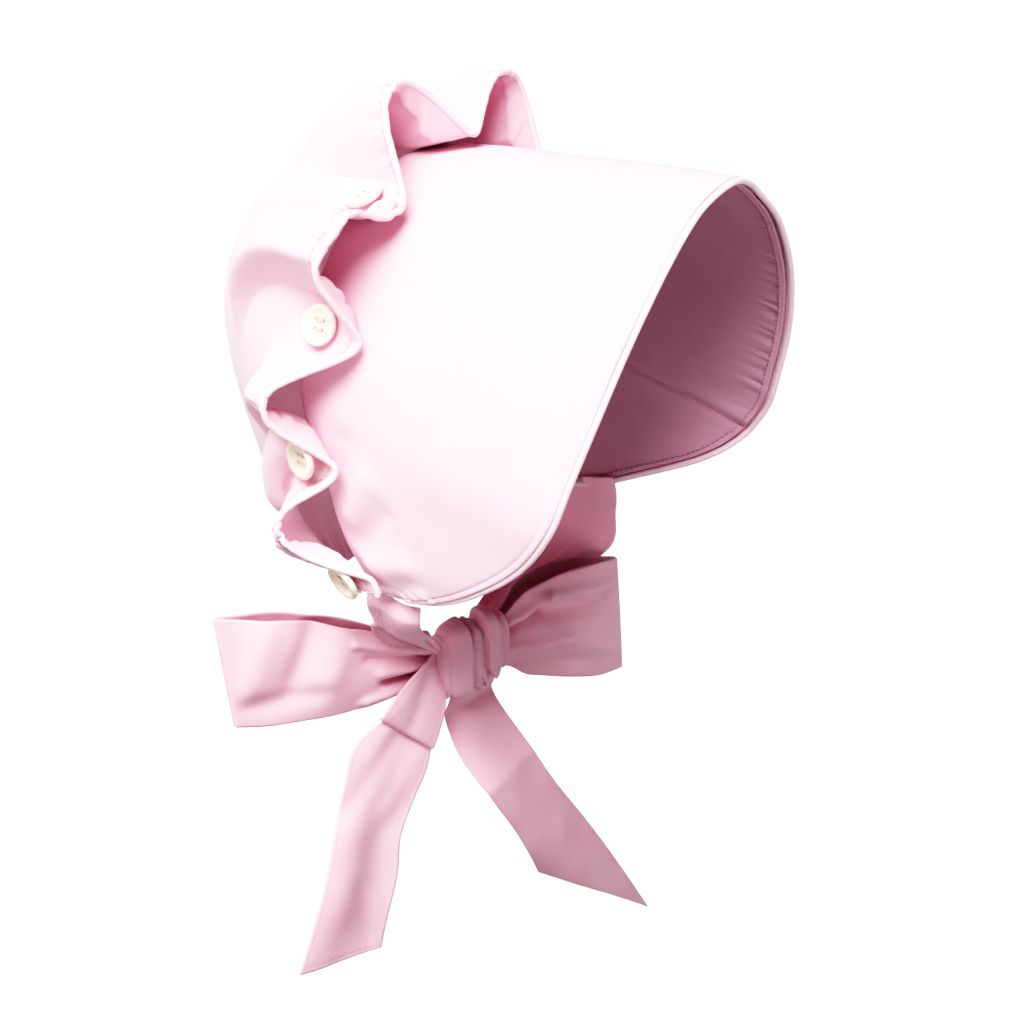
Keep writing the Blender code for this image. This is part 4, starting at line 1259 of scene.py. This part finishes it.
def make_stage():
    """A plain pale floor, a large soft key light from the camera's side and above, a weak fill, and a
    dark card under the bonnet that keeps the floor from lighting it from below. The camera doesn't
    see the card."""
    level_sheet("floor", FLOOR_HEIGHT, FLOOR_RADIUS, FLOOR_SIDES,
                studio_paint("pale_floor", "F6F6F6", "F4F4F4"))
    card = level_sheet("card", CARD_HEIGHT, CARD_RADIUS, CARD_SIDES,
                       studio_paint("dark_card", "2A2A2A", "282828"))
    card.visible_camera = False
    card.visible_shadow = False

    for row in LIGHTS:
        light = dict(zip(LIGHT_COLUMNS, row))
        toward = bearing(math.radians(light["turn"]), math.radians(light["rise"]))
        data = bpy.data.lights.new(light["name"], "SUN")
        data.energy = light["strength"]
        data.angle = math.radians(light["softness"])
        made = placed_object(light["name"], data)
        made.rotation_euler = toward.to_track_quat("Z", "Y").to_euler()

    world = bpy.data.worlds.new("studio")
    bpy.context.scene.world = world
    world.use_nodes = True
    background = world.node_tree.nodes["Background"]
    background.inputs["Color"].default_value = (1, 1, 1, 1)
    background.inputs["Strength"].default_value = FILL_STRENGTH
    bright_exposure(bpy.context.scene.view_settings)


RIBBON_SLOT = "pink_cotton_ribbon"


def declare(piece, node):
    """The piece rides on the bonnet's one body, and stands for its CAD solid where it has one, which it
    hides."""
    if node:
        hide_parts(node)
    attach(piece, "root")


def main():
    make_camera()
    outer, lining, brim_cord, lining_seam = brim_pieces()
    crown, crown_cord, crown_seam = crown_pieces()
    buttons = button_pieces()
    tie_right = chin_tie("tie_right_cloth", TIE_RIGHT, TIE_BAND, 51)
    tie_left = chin_tie("tie_left_cloth", TIE_LEFT, 0, 52)
    knot = bow_knot()
    loop_right = bow_loop("bow_loop_right_cloth", LOOP_RIGHT, LOOP_SLANT_RIGHT, -1, FOLDS_RIGHT, 20)
    loop_left = bow_loop("bow_loop_left_cloth", LOOP_LEFT, LOOP_SLANT_LEFT, 1, FOLDS_LEFT, 19)
    tail_right = bow_tail("bow_tail_right_cloth", TAIL_RIGHT, TAIL_FOLDS_RIGHT)
    tail_left = bow_tail("bow_tail_left_cloth", TAIL_LEFT, TAIL_FOLDS_LEFT, TAIL_CREASES)
    tail_flap = bow_tail("bow_tail_right_turn", TAIL_FLAP, TAIL_FLAP_FOLDS)
    tree = stitch_tree()
    crown_stitches = stitch_row("crown_stitches", crown_seam, *CROWN_STITCHES, THREAD, tree)
    lining_stitches = stitch_row("lining_stitches", lining_seam, *LINING_STITCHES, LINING_THREAD, tree)

    for piece, slot, node in (
            (outer, "pink_cotton", "brim"), (lining, "pink_cotton_lining", "brim_lining"),
            (brim_cord, "pink_cotton", "brim_piping"), (crown, "pink_cotton", "crown"),
            (crown_cord, "pink_cotton", "crown_piping"), (tie_right, RIBBON_SLOT, "tie_right"),
            (tie_left, RIBBON_SLOT, "tie_left"), (knot, RIBBON_SLOT, "bow_knot"),
            (loop_right, RIBBON_SLOT, "bow_loop_right"), (loop_left, RIBBON_SLOT, "bow_loop_left"),
            (tail_right, RIBBON_SLOT, "bow_tail_right"), (tail_left, RIBBON_SLOT, "bow_tail_left"),
            *((button, "ivory_button", node) for node, button in buttons.items()),
            (crown_stitches, "pink_cotton", None), (lining_stitches, "pink_cotton_lining", None),
            (tail_flap, RIBBON_SLOT, None)):
        declare(piece, node)

    make_stage()


main()
